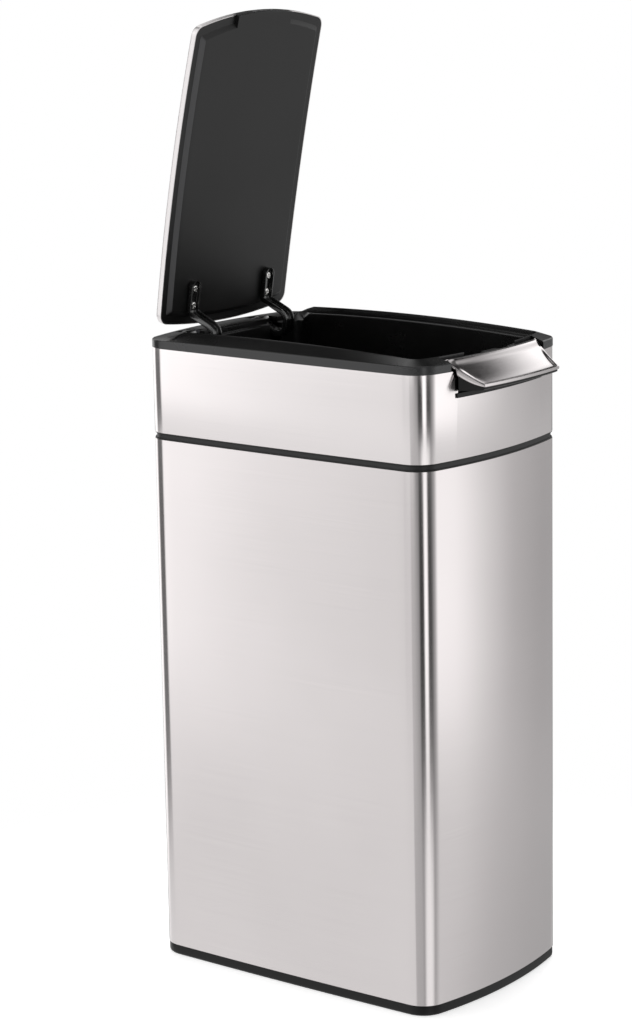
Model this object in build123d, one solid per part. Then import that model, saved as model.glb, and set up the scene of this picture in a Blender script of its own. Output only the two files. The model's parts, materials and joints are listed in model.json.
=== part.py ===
from build123d import *
import os
from math import asin, atan, degrees, pi, sqrt

# Slim rectangular kitchen waste can: steel body, lift-off collar, sprung lid and touch bar.
# Millimetres, +Z up, the touch bar faces -Y, origin on the floor under the middle of the can.
# The lid is drawn shut and then turned up about the hinge to its rest pose, which is open.

# Plan of the can
body_width = 241.8
body_depth = 372.0
side_bow = 2.0
end_bow = 15.0
corner_radius = 26.5
steel = 0.8
fit = 0.2
thread_gap = 0.05
run_gap = 0.6
past = 1.0
cut_reach = 60.0

# Heights of the bands, from the floor up
base_height = 11.2
lower_height = 540.8
seam_height = 7.0
collar_height = 86.7
band_height = 8.3

# Base tray and its grip pads
base_inset = 0.4
base_round = 3.0
base_floor = 6.0
base_wall = 2.5
base_upstand = 28.0
pad_radius = 11.0
pad_depth = 2.5
pad_margin = 34.0

# Cross recess and rounding shared by all screw heads
recess_width = 0.8
recess_depth = 0.8
recess_margin = 1.2
head_round = 0.8

# Seam ring, collar ring and the screws that clamp the collar
seam_lip = 1.2
seam_recess = 1.6
seam_web = 6.4
seam_skirt = 22.0
skirt_wall = 2.0
collar_lip = 1.0
collar_plate = 2.0
lift_gap = 0.4
spigot_wall = 2.0
spigot_depth = 22.0
boss_radius = 4.0
boss_height = 24.0
boss_sink = 1.0
boss_end_room = 86.0
thread_radius = 1.6
thread_length = 12.0
collar_head_radius = 3.2
collar_head_height = 2.0

# Top rim: band, slope, crest, ledge, rear deck and inner wall
rim_overhang = 0.5
crest_inset = 14.0
crest_rise = 10.6
arch_radius = 3022.0
arch_peak_y = 27.0
corner_run = 21.2
rail_fade = 17.8
ledge_drop = 6.0
ledge_width = 9.5
rim_plate = 3.0
rim_wall = 2.2
opening_corner = 10.0
deck_rise = 1.2
deck_depth = 36.0
deck_plate = 2.7
rear_ledge = 4.5
rear_ledge_drop = 6.2
rim_skirt = 15.0

# Lid
lid_side_gap = 3.9
lid_front_gap = 2.4
lid_rear_margin = 29.7
lid_side_bow = 1.3
lid_front_bow = 13.5
lid_rear_bow = 8.0
lid_corner = 11.5
panel_corner = 3.0
lid_edge = 6.8
lid_edge_round = 2.0
seat_gap = 0.3
pan_flat = 8.0
pan_slope = 4.6
pan_depth = 4.0
pan_wall = 2.5
notch_half = 43.0

# Hinge: pivot, gooseneck arms, brackets, axle and springs
hinge_setback = 22.0
hinge_below_deck = 4.2
lid_swing = 79.5
axle_radius = 2.25
axle_end_gap = 1.2
shaft_gap = 0.06
arm_x = 60.0
arm_width = 14.0
arm_web = 2.0
arm_depth = 6.0
arm_flange = 1.6
arm_eye = 5.5
arm_tab_reach = 58.0
arm_leave = 23.0
arm_throat = 14.5
arm_drop = 32.5
arm_heel = 6.5
arm_bends = (6.0, 9.0, 9.0)
arm_side_gap = 2.0
arm_slot_depth = 41.0
screw_near = 32.0
screw_far = 49.5
arm_screw_head = 4.0
arm_screw_rise = 2.4
arm_screw_shank = 1.9
arm_screw_length = 8.0
pillar_radius = 4.4
cheek = 2.0
cheek_room_in = 12.0
cheek_room_out = 4.0
bracket_reach = 7.0
bracket_back = 10.5
bracket_height = 29.0
bracket_screw_drops = (12.0, 23.0)
bracket_head_radius = 3.3
bracket_head_height = 2.0
bracket_thread = 7.0
spring_wire = 1.3
spring_radius = 3.7
spring_pitch = 1.75
spring_turns = 3
spring_leg = 9.0

# Touch bar: cap, carrier, pin and springs
bar_rear_in = 8.5
bar_reach = 26.4
bar_end_lap = 8.0
bar_taper = 13.0
bar_top_rise = 2.6
bar_drop = 22.6
bar_lip_top = 4.6
bar_lip_front = 3.0
bar_lip_height = 5.0
bar_lip_crown = 0.8
bar_cove_sag = 4.2
bar_flange_sag = 1.2
bar_sheet = 0.9
bar_flange = 1.4
bar_end_gap = 1.5
press_room = 2.0
cutout_half = 70.0
cutout_depth = 23.7
pin_radius = 2.0
pin_setback = 11.5
pin_below_band = 20.0
pin_boss = 5.0
pin_stub = 1.0
carrier_side_gap = 4.0
carrier_face_gap = 2.2
carrier_front_drop = 1.0
bar_spring_wire = 0.9
bar_spring_radius = 3.0
bar_spring_pitch = 1.35
bar_spring_turns = 2
bar_spring_leg = 4.5

# Housing of the bar, latch hook and striker
housing_wall = 2.2
housing_cheek = 3.0
housing_cheek_gap = 1.0
housing_drop = 8.0
bezel_end = 2.5
bezel_height = 2.0
bezel_lap = 2.5
bezel_proud = 1.5
hook_half = 12.0
hook_sheet = 1.0
hook_reach = 2.3
hook_room = 2.0
hook_screw_x = 7.0
hook_head_radius = 2.4
hook_head_height = 1.4
hook_thread_radius = 1.2
hook_thread = 6.0
striker_half = 16.0
striker_sheet = 1.2
striker_lift = 0.5
striker_depth = 7.0
striker_pocket = 3.6

# Levels and lines worked out from the sizes above
front_y = -body_depth / 2
back_y = body_depth / 2
lower_top = base_height + lower_height
collar_bottom = lower_top + seam_height
collar_top = collar_bottom + collar_height
band_top = collar_top + band_height
crest_z = band_top + crest_rise
ledge_z = crest_z - ledge_drop
deck_z = band_top + deck_rise
opening_inset = crest_inset + ledge_width
deck_front = back_y - deck_depth
wall_rear = deck_front - rear_ledge
wall_bottom = collar_bottom + collar_plate
lid_half = body_width / 2 - crest_inset - lid_side_gap
lid_front = front_y + crest_inset + lid_front_gap
lid_rear = back_y - lid_rear_margin
lid_under = ledge_z + seat_gap
lid_top = lid_under + lid_edge
hinge_y = back_y - hinge_setback
hinge_z = deck_z - hinge_below_deck
hinge_axis = Axis((0, hinge_y, hinge_z), (1, 0, 0))
bracket_in = arm_x - arm_width / 2 - cheek_room_in
bracket_out = arm_x + arm_width / 2 + cheek_room_out
bracket_y = hinge_y + bracket_back
bar_rear = front_y + bar_rear_in
bar_front = front_y - bar_reach
bar_top = band_top + bar_top_rise
bar_low = bar_top - bar_drop
pin_y = front_y + pin_setback
pin_z = band_top - pin_below_band
cutout_z = collar_top - cutout_depth
bar_rear_half = cutout_half + bar_end_lap
carrier_half = cutout_half - carrier_side_gap
housing_cheek_x = cutout_half + housing_cheek_gap
bezel_half = cutout_half + bezel_end
high = crest_z + cut_reach
front_radius = ((body_width / 2 - side_bow) ** 2 + end_bow**2) / (2 * end_bow)
front_axis = Axis((0, front_y + front_radius, 0), (0, 0, 1))


def bowed_face(half_x, y_front, y_back, side, front, back, radius):
    """Plan face with four bowed sides: bows are added outside the given corners."""
    corners = [(-half_x, y_front), (half_x, y_front), (half_x, y_back), (-half_x, y_back)]
    middle = (y_front + y_back) / 2
    bulges = [(0, y_front - front), (half_x + side, middle), (0, y_back + back), (-half_x - side, middle)]
    bows = (front, side, back, side)
    edges = []
    for i, bow in enumerate(bows):
        start, end = corners[i], corners[(i + 1) % 4]
        edges.append(ThreePointArc(start, bulges[i], end) if bow else Line(start, end))
    face = make_face(edges)
    return fillet(face.vertices(), radius)


def outline(inset):
    """Plan face of the can drawn in by inset on every side."""
    half_x = body_width / 2 - side_bow - inset
    half_y = body_depth / 2 - end_bow - inset
    return bowed_face(half_x, -half_y, half_y, side_bow, end_bow, end_bow, corner_radius - inset)


def side_x(y, inset):
    """Half width of the plan at y, drawn in by inset."""
    half_y = body_depth / 2 - end_bow - inset
    radius = (half_y**2 + side_bow**2) / (2 * side_bow)
    return body_width / 2 - inset - radius + sqrt(radius**2 - y**2)


def opening_face(grow=0.0):
    """Plan face of the mouth, which stops short of the rear deck, grown by a wall."""
    return bowed_face(
        body_width / 2 - side_bow - opening_inset + grow,
        front_y + end_bow + opening_inset - grow,
        wall_rear + grow,
        side_bow,
        end_bow,
        0,
        opening_corner + grow,
    )


def lid_face(inset):
    """Plan face of the shut lid drawn in by inset."""
    return bowed_face(
        lid_half - lid_side_bow - inset,
        lid_front + lid_front_bow + inset,
        lid_rear - lid_rear_bow - inset,
        lid_side_bow,
        lid_front_bow,
        lid_rear_bow,
        max(lid_corner - inset, panel_corner),
    )


def prism(face, low_z, high_z):
    """Upright solid on a plan face."""
    return Pos(0, 0, low_z) * extrude(face, high_z - low_z)


def block(x0, x1, y0, y1, z0, z1):
    """Box between two corners."""
    return Pos((x0 + x1) / 2, (y0 + y1) / 2, (z0 + z1) / 2) * Box(x1 - x0, y1 - y0, z1 - z0)


def rod(radius, x0, x1, y, z):
    """Round bar along X."""
    return Pos((x0 + x1) / 2, y, z) * Rot(0, 90, 0) * Cylinder(radius, x1 - x0)


def arch(y, peak):
    """Height at y of the lengthwise arch whose top is at peak."""
    return peak - arch_radius + sqrt(arch_radius**2 - (y - arch_peak_y) ** 2)


def under_arch(peak):
    """Everything below the lengthwise arch."""
    y0, y1 = front_y - cut_reach, back_y + cut_reach
    curve = ThreePointArc((y0, arch(y0, peak)), (arch_peak_y, peak), (y1, arch(y1, peak)))
    walls = Polyline((y1, arch(y1, peak)), (y1, 0), (y0, 0), (y0, arch(y0, peak)))
    return extrude(Plane.YZ * make_face([curve, walls]), body_width, both=True)


def mirrored(shape):
    """The same piece on the other side of the can."""
    return mirror(shape, about=Plane.YZ)


def coil(radius, pitch, turns, leg, wire):
    """Torsion spring along X from the origin: turns made of biarcs, and a straight leg at each end."""
    quarter = [(0, 1), (1, 0), (0, -1), (-1, 0)]
    rise = pitch / 4
    arc_slope = rise / (radius * pi / 2)
    edges = []
    points = []
    for step in range(4 * turns + 1):
        along, up = quarter[step % 4]
        ahead = quarter[(step + 1) % 4]
        place = Vector(step * rise, radius * along, radius * up)
        heading = Vector(arc_slope, ahead[0], ahead[1]).normalized()
        points.append((place, heading))
    for (start, leave), (end, arrive) in zip(points, points[1:]):
        span = end - start
        both = leave + arrive
        spread = 2 * (1 - leave.dot(arrive))
        reach = (sqrt(span.dot(both) ** 2 + spread * span.dot(span)) - span.dot(both)) / spread
        first = start + leave * reach
        second = end - arrive * reach
        meet = (first + second) * 0.5
        edges.append(TangentArc(start, meet, tangent=leave))
        edges.append(TangentArc(meet, end, tangent=second - first))
    start, leave = points[0]
    end, arrive = points[-1]
    edges.insert(0, Line(start - leave * leg, start))
    edges.append(Line(end, end + arrive * leg))
    path = Wire(edges)
    section = Plane(path @ 0, z_dir=path % 0) * Circle(wire)
    return sweep(section, path)


def shank(radius, length):
    """Round shank of a screw, or its hole, that runs down along Z from z 0."""
    return Pos(0, 0, -length / 2) * Cylinder(radius, length)


def screw(head_radius, head_height, shank_radius, length):
    """Round-headed screw along Z: the head sits on z 0, the shank runs down from it."""
    head = Pos(0, 0, head_height / 2) * Cylinder(head_radius, head_height)
    head = fillet(head.edges().group_by(Axis.Z)[-1], head_round)
    slot = Pos(0, 0, head_height) * Box(2 * (head_radius - recess_margin), recess_width, 2 * recess_depth)
    return head - slot - Rot(0, 0, 90) * slot + shank(shank_radius, length)


nodes = {}


def add(name, *solids):
    """Keep one node, made of one solid or of a group of like solids."""
    shapes = [solid for shape in solids for solid in shape.solids()]
    nodes[name] = shapes[0] if len(shapes) == 1 else Compound(children=shapes)
    nodes[name].label = name


# Base tray: band that the sleeve stands on, an upstand inside the sleeve and a flat floor
upstand_inset = steel + fit
tray = prism(outline(base_inset), 0, base_height)
tray = fillet(tray.faces().sort_by(Axis.Z)[0].edges(), base_round)
tray += prism(outline(upstand_inset), base_height, base_height + base_upstand)
tray -= prism(outline(upstand_inset + base_wall), base_floor, base_height + base_upstand)
pad_places = [
    (x, y)
    for x in (pad_margin - body_width / 2, body_width / 2 - pad_margin)
    for y in (front_y + pad_margin + end_bow, back_y - pad_margin - end_bow)
]
for x, y in pad_places:
    tray -= Pos(x, y, pad_depth / 2) * Cylinder(pad_radius + fit, pad_depth)
add("base_tray", tray)
add("grip_pads", *[Pos(x, y, pad_depth / 2) * Cylinder(pad_radius, pad_depth) for x, y in pad_places])

# Lower sleeve of bent sheet, and the ring that stiffens its top edge
add("lower_shell", prism(outline(0) - outline(steel), base_height, lower_top))
seam_inner = seam_recess + seam_web
seam_top = collar_bottom - collar_lip - lift_gap
ring = prism(outline(base_inset) - outline(seam_inner), lower_top, lower_top + seam_lip)
ring += prism(outline(seam_recess) - outline(seam_inner), lower_top + seam_lip, seam_top)
ring += prism(outline(steel + fit) - outline(steel + fit + skirt_wall), lower_top - seam_skirt, lower_top)
ring += prism(outline(steel + fit) - outline(seam_inner), lower_top - seam_lip, lower_top)
add("seam_ring", ring)

# Collar ring: closes the bottom of the collar and centres it in the seam ring
spigot_inset = seam_inner + run_gap
under = collar_bottom - collar_lip
plate = prism(outline(base_inset) - opening_face(), under, collar_bottom)
plate += prism(outline(steel + fit) - opening_face(), collar_bottom, wall_bottom)
plate += prism(outline(spigot_inset) - outline(spigot_inset + spigot_wall), under - spigot_depth, under)
boss_y = body_depth / 2 - boss_end_room
boss_x = side_x(boss_y, opening_inset - rim_wall) + boss_radius - boss_sink
boss_places = [(x, y) for x in (-boss_x, boss_x) for y in (-boss_y, boss_y)]
clamp_screw = screw(collar_head_radius, collar_head_height, thread_radius, thread_length)
clamp_screws = []
for x, y in boss_places:
    seat = Pos(x, y, under) * Rot(180, 0, 0)
    plate -= seat * shank(thread_radius + fit, thread_length)
    clamp_screws.append(seat * clamp_screw)
add("collar_ring", plate)
add("collar_screws", *clamp_screws)

# Collar band of bent sheet, cut away in front for the touch bar
band = prism(outline(0) - outline(steel), collar_bottom, collar_top)
band -= block(-cutout_half, cutout_half, front_y - past, front_y + 2 * end_bow, cutout_z, collar_top)
add("collar_shell", band)


def rail_section(y, top):
    """Slope and crest of one side rail, cut across at y."""
    outer = side_x(y, -rim_overhang)
    inner = side_x(y, crest_inset)
    points = [(outer, y, band_top), (inner, y, top), (inner, y, band_top)]
    return make_face(Polyline(*points, close=True))


# Top rim: outer band, slope up to the crest, ledge for the lid, rear deck and inner wall
corner_y = body_depth / 2 - end_bow - corner_run
rail_end_y = corner_y - rail_fade
crest_plan = outline(crest_inset)
edge_plan = outline(-rim_overhang)
rim = prism(edge_plan - crest_plan, collar_top, band_top)
crest_front = arch(-corner_y, crest_z)
front_slope = loft([Pos(0, 0, band_top) * edge_plan, Pos(0, 0, crest_front) * crest_plan], ruled=True)
front_slope -= prism(crest_plan, band_top, high)
front_slope &= block(-body_width, body_width, 2 * front_y, -corner_y, 0, high)
back_slope = loft([Pos(0, 0, band_top) * edge_plan, Pos(0, 0, deck_z) * crest_plan], ruled=True)
back_slope -= prism(crest_plan, band_top, high)
back_slope &= block(-body_width, body_width, corner_y, 2 * back_y, 0, high)
rail_steps = [-corner_y, -corner_y / 2, 0.0, rail_end_y / 2, rail_end_y]
rail = loft([rail_section(y, arch(y, crest_z)) for y in rail_steps])
fade = [rail_section(rail_end_y, arch(rail_end_y, crest_z)), rail_section(corner_y, deck_z)]
rail += loft(fade, ruled=True)
rim += front_slope + back_slope + rail + mirrored(rail)
ledge = prism(crest_plan - opening_face(), collar_top, high) & under_arch(ledge_z)
ledge &= block(-body_width, body_width, 2 * front_y, deck_front, 0, high)
rear_low = deck_z - rear_ledge_drop
rear_cut = block(-body_width, body_width, wall_rear - ledge_width, deck_front, rear_low, high)
ledge -= rear_cut & prism(outline(opening_inset), collar_top, high)
behind = block(-body_width, body_width, deck_front, 2 * back_y, 0, high)
rim += ledge + (prism(crest_plan, collar_top, deck_z) & behind)
hollow_top = arch(front_y, ledge_z) - rim_plate
hollow_plan = outline(steel + fit + skirt_wall)
rim -= prism(hollow_plan - opening_face(rim_wall), collar_bottom, hollow_top) - behind
rim -= prism(hollow_plan, collar_bottom, deck_z - deck_plate) & behind
rim += prism(opening_face(rim_wall) - opening_face(), wall_bottom, collar_top)
rim += prism(outline(steel + fit) - hollow_plan, collar_top - rim_skirt, collar_top)
for x, y in boss_places:
    boss = Pos(x, y, wall_bottom + boss_height / 2) * Cylinder(boss_radius, boss_height)
    rim += boss - prism(opening_face(rim_wall / 2), wall_bottom, collar_top)
    rim -= Pos(x, y, under) * Rot(180, 0, 0) * shank(thread_radius + thread_gap, thread_length)
slot_half = arm_width / 2 + arm_side_gap
pad_half = (bracket_out - bracket_in) / 2
pad_x = (bracket_out + bracket_in) / 2
for side in (-1, 1):
    pad = block(-pad_half, pad_half, bracket_y + cheek, back_y, collar_top - rim_skirt, collar_top)
    pad = Pos(side * pad_x, 0, 0) * pad & prism(outline(steel + fit), 0, high)
    rim += pad
    slot_rear = hinge_y + arm_eye + arm_depth
    low = hinge_z - arm_slot_depth
    x = side * arm_x
    rim -= block(x - slot_half, x + slot_half, wall_rear - ledge_width, slot_rear, low, high)
    x = side * pad_x
    well = pad_half - cheek
    rim -= block(x - well, x + well, hinge_y - bracket_reach, slot_rear, deck_z - deck_plate - past, high)
axle_half = bracket_out + axle_end_gap
rim -= rod(axle_radius + fit, -axle_half - fit, axle_half + fit, hinge_y, hinge_z)
bar_gap_half = bar_rear_half + bar_end_gap
bar_gap_rear = front_y + crest_inset + fit
gap_low = collar_top - rim_skirt - past
bar_gap = block(-bar_gap_half, bar_gap_half, 2 * front_y, front_y + 2 * end_bow, gap_low, high)
behind_gap = Pos(front_axis.position) * Cylinder(front_axis.position.Y - bar_gap_rear, 2 * high)
rim -= bar_gap - behind_gap
hook_gap = hook_half + hook_room
screw_x = (bracket_in + cheek + arm_x - arm_width / 2) / 2
bracket_seats = []
for x in (-screw_x, screw_x):
    for drop in bracket_screw_drops:
        bracket_seats.append(Pos(x, bracket_y, hinge_z - drop) * Rot(90, 0, 0))
for seat in bracket_seats:
    rim -= seat * shank(thread_radius + thread_gap, bracket_thread)
recess_half = notch_half + run_gap
recess_low = arch(lid_front, lid_under) - pan_depth - run_gap
recess_end = recess_half + rim_wall
front_rim = prism(crest_plan - opening_face(), recess_low - deck_plate, recess_low)
rim += front_rim & block(-recess_end, recess_end, bar_gap_rear, 0, 0, high)
rim -= block(-recess_half, recess_half, 2 * front_y, 0, recess_low, high)
rim -= block(-hook_gap, hook_gap, 2 * front_y, lid_front + hook_reach, collar_top - rim_skirt, high)
add("top_rim", rim)

# Hinge brackets: a back plate screwed to the rim and two cheeks with open cradles for the axle
bracket_top = deck_z - deck_plate - fit
back_low = hinge_z - bracket_height
cheek_low = hinge_z - 2 * axle_radius - bracket_reach
bracket = block(bracket_in, bracket_out, bracket_y, bracket_y + cheek, back_low, bracket_top)
for x0 in (bracket_in, bracket_out - cheek):
    bracket += block(x0, x0 + cheek, hinge_y - bracket_reach, bracket_y, cheek_low, bracket_top)
cradle = axle_radius + shaft_gap
bracket -= rod(cradle, bracket_in, bracket_out, hinge_y, hinge_z)
bracket -= block(bracket_in, bracket_out, hinge_y - cradle, hinge_y + cradle, hinge_z, high)
bracket_screw = screw(bracket_head_radius, bracket_head_height, thread_radius, bracket_thread)
for seat in bracket_seats:
    bracket -= seat * shank(thread_radius + fit, bracket_thread)
add("hinge_bracket_right", bracket)
add("hinge_bracket_left", mirrored(bracket))
add("bracket_screws", *[seat * bracket_screw for seat in bracket_seats])
add("hinge_axle", rod(axle_radius, -axle_half, axle_half, hinge_y, hinge_z))

# Lid springs: wound on the axle between the inner cheek and the arm
lid_coil = coil(spring_radius, spring_pitch, spring_turns, spring_leg, spring_wire / 2)
lid_coil_x = bracket_in + cheek + spring_wire / 2 + 2 * run_gap
lid_spring = Pos(lid_coil_x, hinge_y, hinge_z) * Rot(180, 0, 0) * lid_coil
add("lid_spring_right", lid_spring)
add("lid_spring_left", mirrored(lid_spring))

# Lid skin: arched sheet with a turned-down edge, open at the notch in front
lid_block = prism(lid_face(0), 0, high) & under_arch(lid_top)
lid_block = fillet(lid_block.faces().sort_by(Axis.Z)[-1].edges(), lid_edge_round)
lid_block -= under_arch(lid_under)
skin = lid_block - (prism(lid_face(steel), 0, high) & under_arch(lid_top - steel))
notch_rear = lid_front + lid_front_bow / 2
notch = block(-notch_half, notch_half, 2 * front_y, notch_rear, 0, high)
skin -= notch & under_arch(lid_top - steel)

# Lid pan: border that fills the skin's edge, and a panel that stands proud of it
tilt = degrees(atan((arch(lid_rear, lid_under) - arch(lid_front, lid_under)) / (lid_rear - lid_front)))
lid_mid = (lid_front + lid_rear) / 2
mean_z = arch(lid_mid, lid_under) - (lid_rear - lid_front) ** 2 / (24 * arch_radius)


def panel(grow, depth):
    """Tapered raised panel of the pan, its face depth below the lid's edge, drawn in by grow."""
    reach = 2 * pan_depth
    taper = pan_slope / pan_depth
    faces = []
    for level in (reach / 2, -reach):
        inset = pan_flat + grow - taper * level
        place = Pos(0, lid_mid, mean_z + level) * Rot(tilt, 0, 0) * Pos(0, -lid_mid, 0)
        faces.append(place * lid_face(inset))
    return loft(faces, ruled=True) - under_arch(lid_under - depth)


pan_room = under_arch(lid_top - steel - fit)
above_edge = pan_room - under_arch(lid_under)
fill_half = notch_half - fit
pan = prism(lid_face(steel + fit), 0, high) & above_edge
notch_fill = block(-fill_half, fill_half, 2 * front_y, notch_rear - fit, 0, high)
pan += prism(lid_face(fit), 0, high) & above_edge & notch_fill
tongue = (prism(lid_face(fit), 0, high) & under_arch(lid_under)) - under_arch(lid_under - pan_depth)
pan += tongue & block(-fill_half, fill_half, 2 * front_y, lid_front + pan_flat + pan_slope, 0, high)
pan += panel(0, pan_depth) & under_arch(lid_under + pan_wall)
pan -= panel(pan_wall, pan_depth - pan_wall) & under_arch(lid_under)
pan -= prism(lid_face(pan_flat + pan_wall), 0, high) & above_edge
tab_y = hinge_y - arm_tab_reach
leave_y = hinge_y - arm_leave
under_pan = pan_depth + fit + arm_web / 2
tab_z = arch(tab_y, lid_under) - under_pan
leave_z = arch(leave_y, lid_under) - under_pan
tab_rise = (leave_z - tab_z) / (leave_y - tab_y)
tab_seats = []
for y in (hinge_y - screw_near, hinge_y - screw_far):
    turn = Rot(180 + degrees(atan(tab_rise)), 0, 0)
    tab_seats.append(Pos(0, y, tab_z + tab_rise * (y - tab_y)) * turn * Pos(0, 0, arm_web / 2))
screw_seats = [Pos(x, 0, 0) * seat for x in (-arm_x, arm_x) for seat in tab_seats]
for seat in screw_seats:
    pan += (seat * Cylinder(pillar_radius, cut_reach) & pan_room) - under_arch(lid_under - pan_depth)
    pan -= seat * shank(arm_screw_shank + thread_gap, arm_screw_length)

# Striker: steel plate in the front of the pan, with a pocket above it for the hook
striker_low = arch(lid_front, lid_under) + striker_lift
striker_high = striker_low + striker_sheet
striker_end = lid_front + striker_depth
pocket_top = striker_high + striker_pocket
pan -= block(
    -striker_half - fit, striker_half + fit, 2 * front_y, striker_end + fit, striker_low - fit, pocket_top
)
striker_back = striker_end - striker_sheet
striker = block(-striker_half, striker_half, lid_front + fit, striker_end, striker_low, striker_high)
striker += block(-striker_half, striker_half, striker_back, striker_end, striker_low, pocket_top - fit)

# Gooseneck arms: channels from the lid's panel, round the deck's front edge, to the axle
path = FilletPolyline(
    (0, tab_y, tab_z),
    (0, leave_y, leave_z),
    (0, hinge_y - arm_throat, hinge_z - arm_drop),
    (0, hinge_y + arm_heel, hinge_z - arm_drop - arm_web),
    (0, hinge_y, hinge_z),
    radius=list(arm_bends),
)
channel = Rectangle(arm_width, arm_depth)
channel -= Pos(0, arm_web / 2) * Rectangle(arm_width - 2 * arm_flange, arm_depth - arm_web)
channel = Pos(0, (arm_depth - arm_web) / 2) * channel
arm = sweep(Plane(path @ 0, x_dir=(1, 0, 0), z_dir=path % 0) * channel, path)
tab_round = tab_y + arm_width / 2
tab_end = block(-arm_width, arm_width, tab_y - past, tab_round, 0, high)
arm -= tab_end - Pos(0, tab_round, lid_under) * Cylinder(arm_width / 2, cut_reach)
arm += rod(arm_eye, -arm_width / 2, arm_width / 2, hinge_y, hinge_z)
arm -= rod(axle_radius + shaft_gap, -arm_width, arm_width, hinge_y, hinge_z)
arm_screw = screw(arm_screw_head, arm_screw_rise, arm_screw_shank, arm_screw_length)
for seat in tab_seats:
    arm -= seat * shank(arm_screw_shank + fit, arm_screw_length)


def opened(shape):
    """Turn a piece of the lid from shut to its rest pose."""
    return shape.rotate(hinge_axis, -lid_swing)


add("lid_skin", opened(skin))
add("lid_pan", opened(pan))
add("lid_striker", opened(striker))
add("hinge_arm_right", opened(Pos(arm_x, 0, 0) * arm))
add("hinge_arm_left", opened(Pos(-arm_x, 0, 0) * arm))
add("arm_screws", *[opened(seat * arm_screw) for seat in screw_seats])

# Touch bar: scooped cap on a carrier that rocks on a pin behind the steel band
cove_start = (bar_rear - bar_lip_top, bar_top)
cove_end = (bar_front + bar_lip_front, bar_low)
lip_low = bar_low - bar_lip_height
face_low = cutout_z + bezel_height + press_room


def sagged(start, end, sag):
    """Arc from a rear point of the bar's side view down to a front one, hollowed by sag."""
    run, fall = end[0] - start[0], end[1] - start[1]
    length = sqrt(run**2 + fall**2)
    middle_y = (start[0] + end[0]) / 2 - sag * fall / length
    middle_z = (start[1] + end[1]) / 2 + sag * run / length
    return ThreePointArc(start, (middle_y, middle_z), end)


def bar_side(drop):
    """Side view of the bar below its scooped top, with top, front and rear drawn in by drop."""
    start = (cove_start[0], cove_start[1] - drop)
    end = (cove_end[0], cove_end[1] - drop)
    rest = Polyline(
        end,
        (bar_front + bar_lip_front / 2, bar_low + bar_lip_crown - drop),
        (bar_front + drop, bar_low - drop),
        (bar_front + drop, lip_low),
        (bar_front + bar_lip_front, lip_low - carrier_front_drop),
        (front_y, face_low),
        (bar_rear - drop, face_low),
        (bar_rear - drop, bar_top - drop),
        start,
    )
    return make_face([sagged(start, end, bar_cove_sag), rest])


def bar_plan(inset):
    """Upright solid on the plan of the bar, which narrows to the front, drawn in at both ends."""
    slant = bar_taper / (bar_rear - bar_front)
    corner = bar_rear + bar_rear_half**2 / (2 * front_radius)
    rear_y, front_end = bar_rear + end_bow, bar_front - past
    rear = bar_rear_half - inset + slant * (rear_y - corner)
    front = bar_rear_half - inset + slant * (front_end - corner)
    points = [(-rear, rear_y), (rear, rear_y), (front, front_end), (-front, front_end)]
    return prism(make_face(Polyline(*points, close=True)), 0, high)


def bowed(face):
    """A side view of the bar carried across the can along the bow of its front."""
    turn = degrees(asin(body_width / 2 / front_radius))
    return revolve(Plane.YZ * face, front_axis, 2 * turn).rotate(front_axis, -turn)


cap = (bowed(bar_side(0)) - bowed(bar_side(bar_sheet))) & bar_plan(0)
flange_low = bar_top - bar_lip_height
flange_edges = [
    sagged((bar_rear, bar_top), (bar_front, bar_low), bar_flange_sag),
    Line((bar_front, bar_low), (bar_front, lip_low)),
    sagged((bar_rear, flange_low), (bar_front, lip_low), bar_cove_sag),
    Line((bar_rear, flange_low), (bar_rear, bar_top)),
]
cap += bowed(make_face(flange_edges)) & (bar_plan(0) - bar_plan(bar_flange))
cap -= prism(outline(-carrier_face_gap), 0, collar_top + press_room)
add("touch_bar", cap)

# Carrier: fills the cap, passes through the cut-out in the band and rocks on the pin
filling = bowed(bar_side(bar_sheet + fit))
carrier = (filling & bar_plan(bar_flange + fit)) - prism(outline(-carrier_face_gap), 0, high)
boss_top = pin_z + pin_boss
tongue_rear = bar_rear + fit
tongue_top = collar_top + press_room - fit
tongue_front = front_y - carrier_face_gap - past
carrier += filling & block(-carrier_half, carrier_half, tongue_front, tongue_rear, face_low, high)
carrier += block(-carrier_half, carrier_half, cove_start[0], tongue_rear, face_low, tongue_top)
carrier += block(-carrier_half, carrier_half, pin_y - pin_boss, pin_y + pin_boss, face_low, boss_top)
carrier -= rod(pin_radius + shaft_gap, -carrier_half, carrier_half, pin_y, pin_z)

# Latch hook: bent spring strip on the back of the carrier, its tip over the striker
hook_y = tongue_rear + fit
hook_top = striker_high + seat_gap + hook_sheet
hook = block(-hook_half, hook_half, hook_y, hook_y + hook_sheet, boss_top + fit, hook_top)
hook += block(-hook_half, hook_half, hook_y, lid_front + hook_reach, hook_top - hook_sheet, hook_top)
hook_screw = screw(hook_head_radius, hook_head_height, hook_thread_radius, hook_thread)
hook_screws = []
hook_screw_z = boss_top + hook_head_radius + 2 * fit
for x in (-hook_screw_x, hook_screw_x):
    seat = Pos(x, hook_y + hook_sheet, hook_screw_z) * Rot(-90, 0, 0)
    hook -= seat * shank(hook_thread_radius + fit, hook_thread)
    carrier -= seat * shank(hook_thread_radius + thread_gap, hook_thread)
    hook_screws.append(seat * hook_screw)
add("bar_carrier", carrier)
add("latch_hook", hook)
add("hook_screws", *hook_screws)

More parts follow.
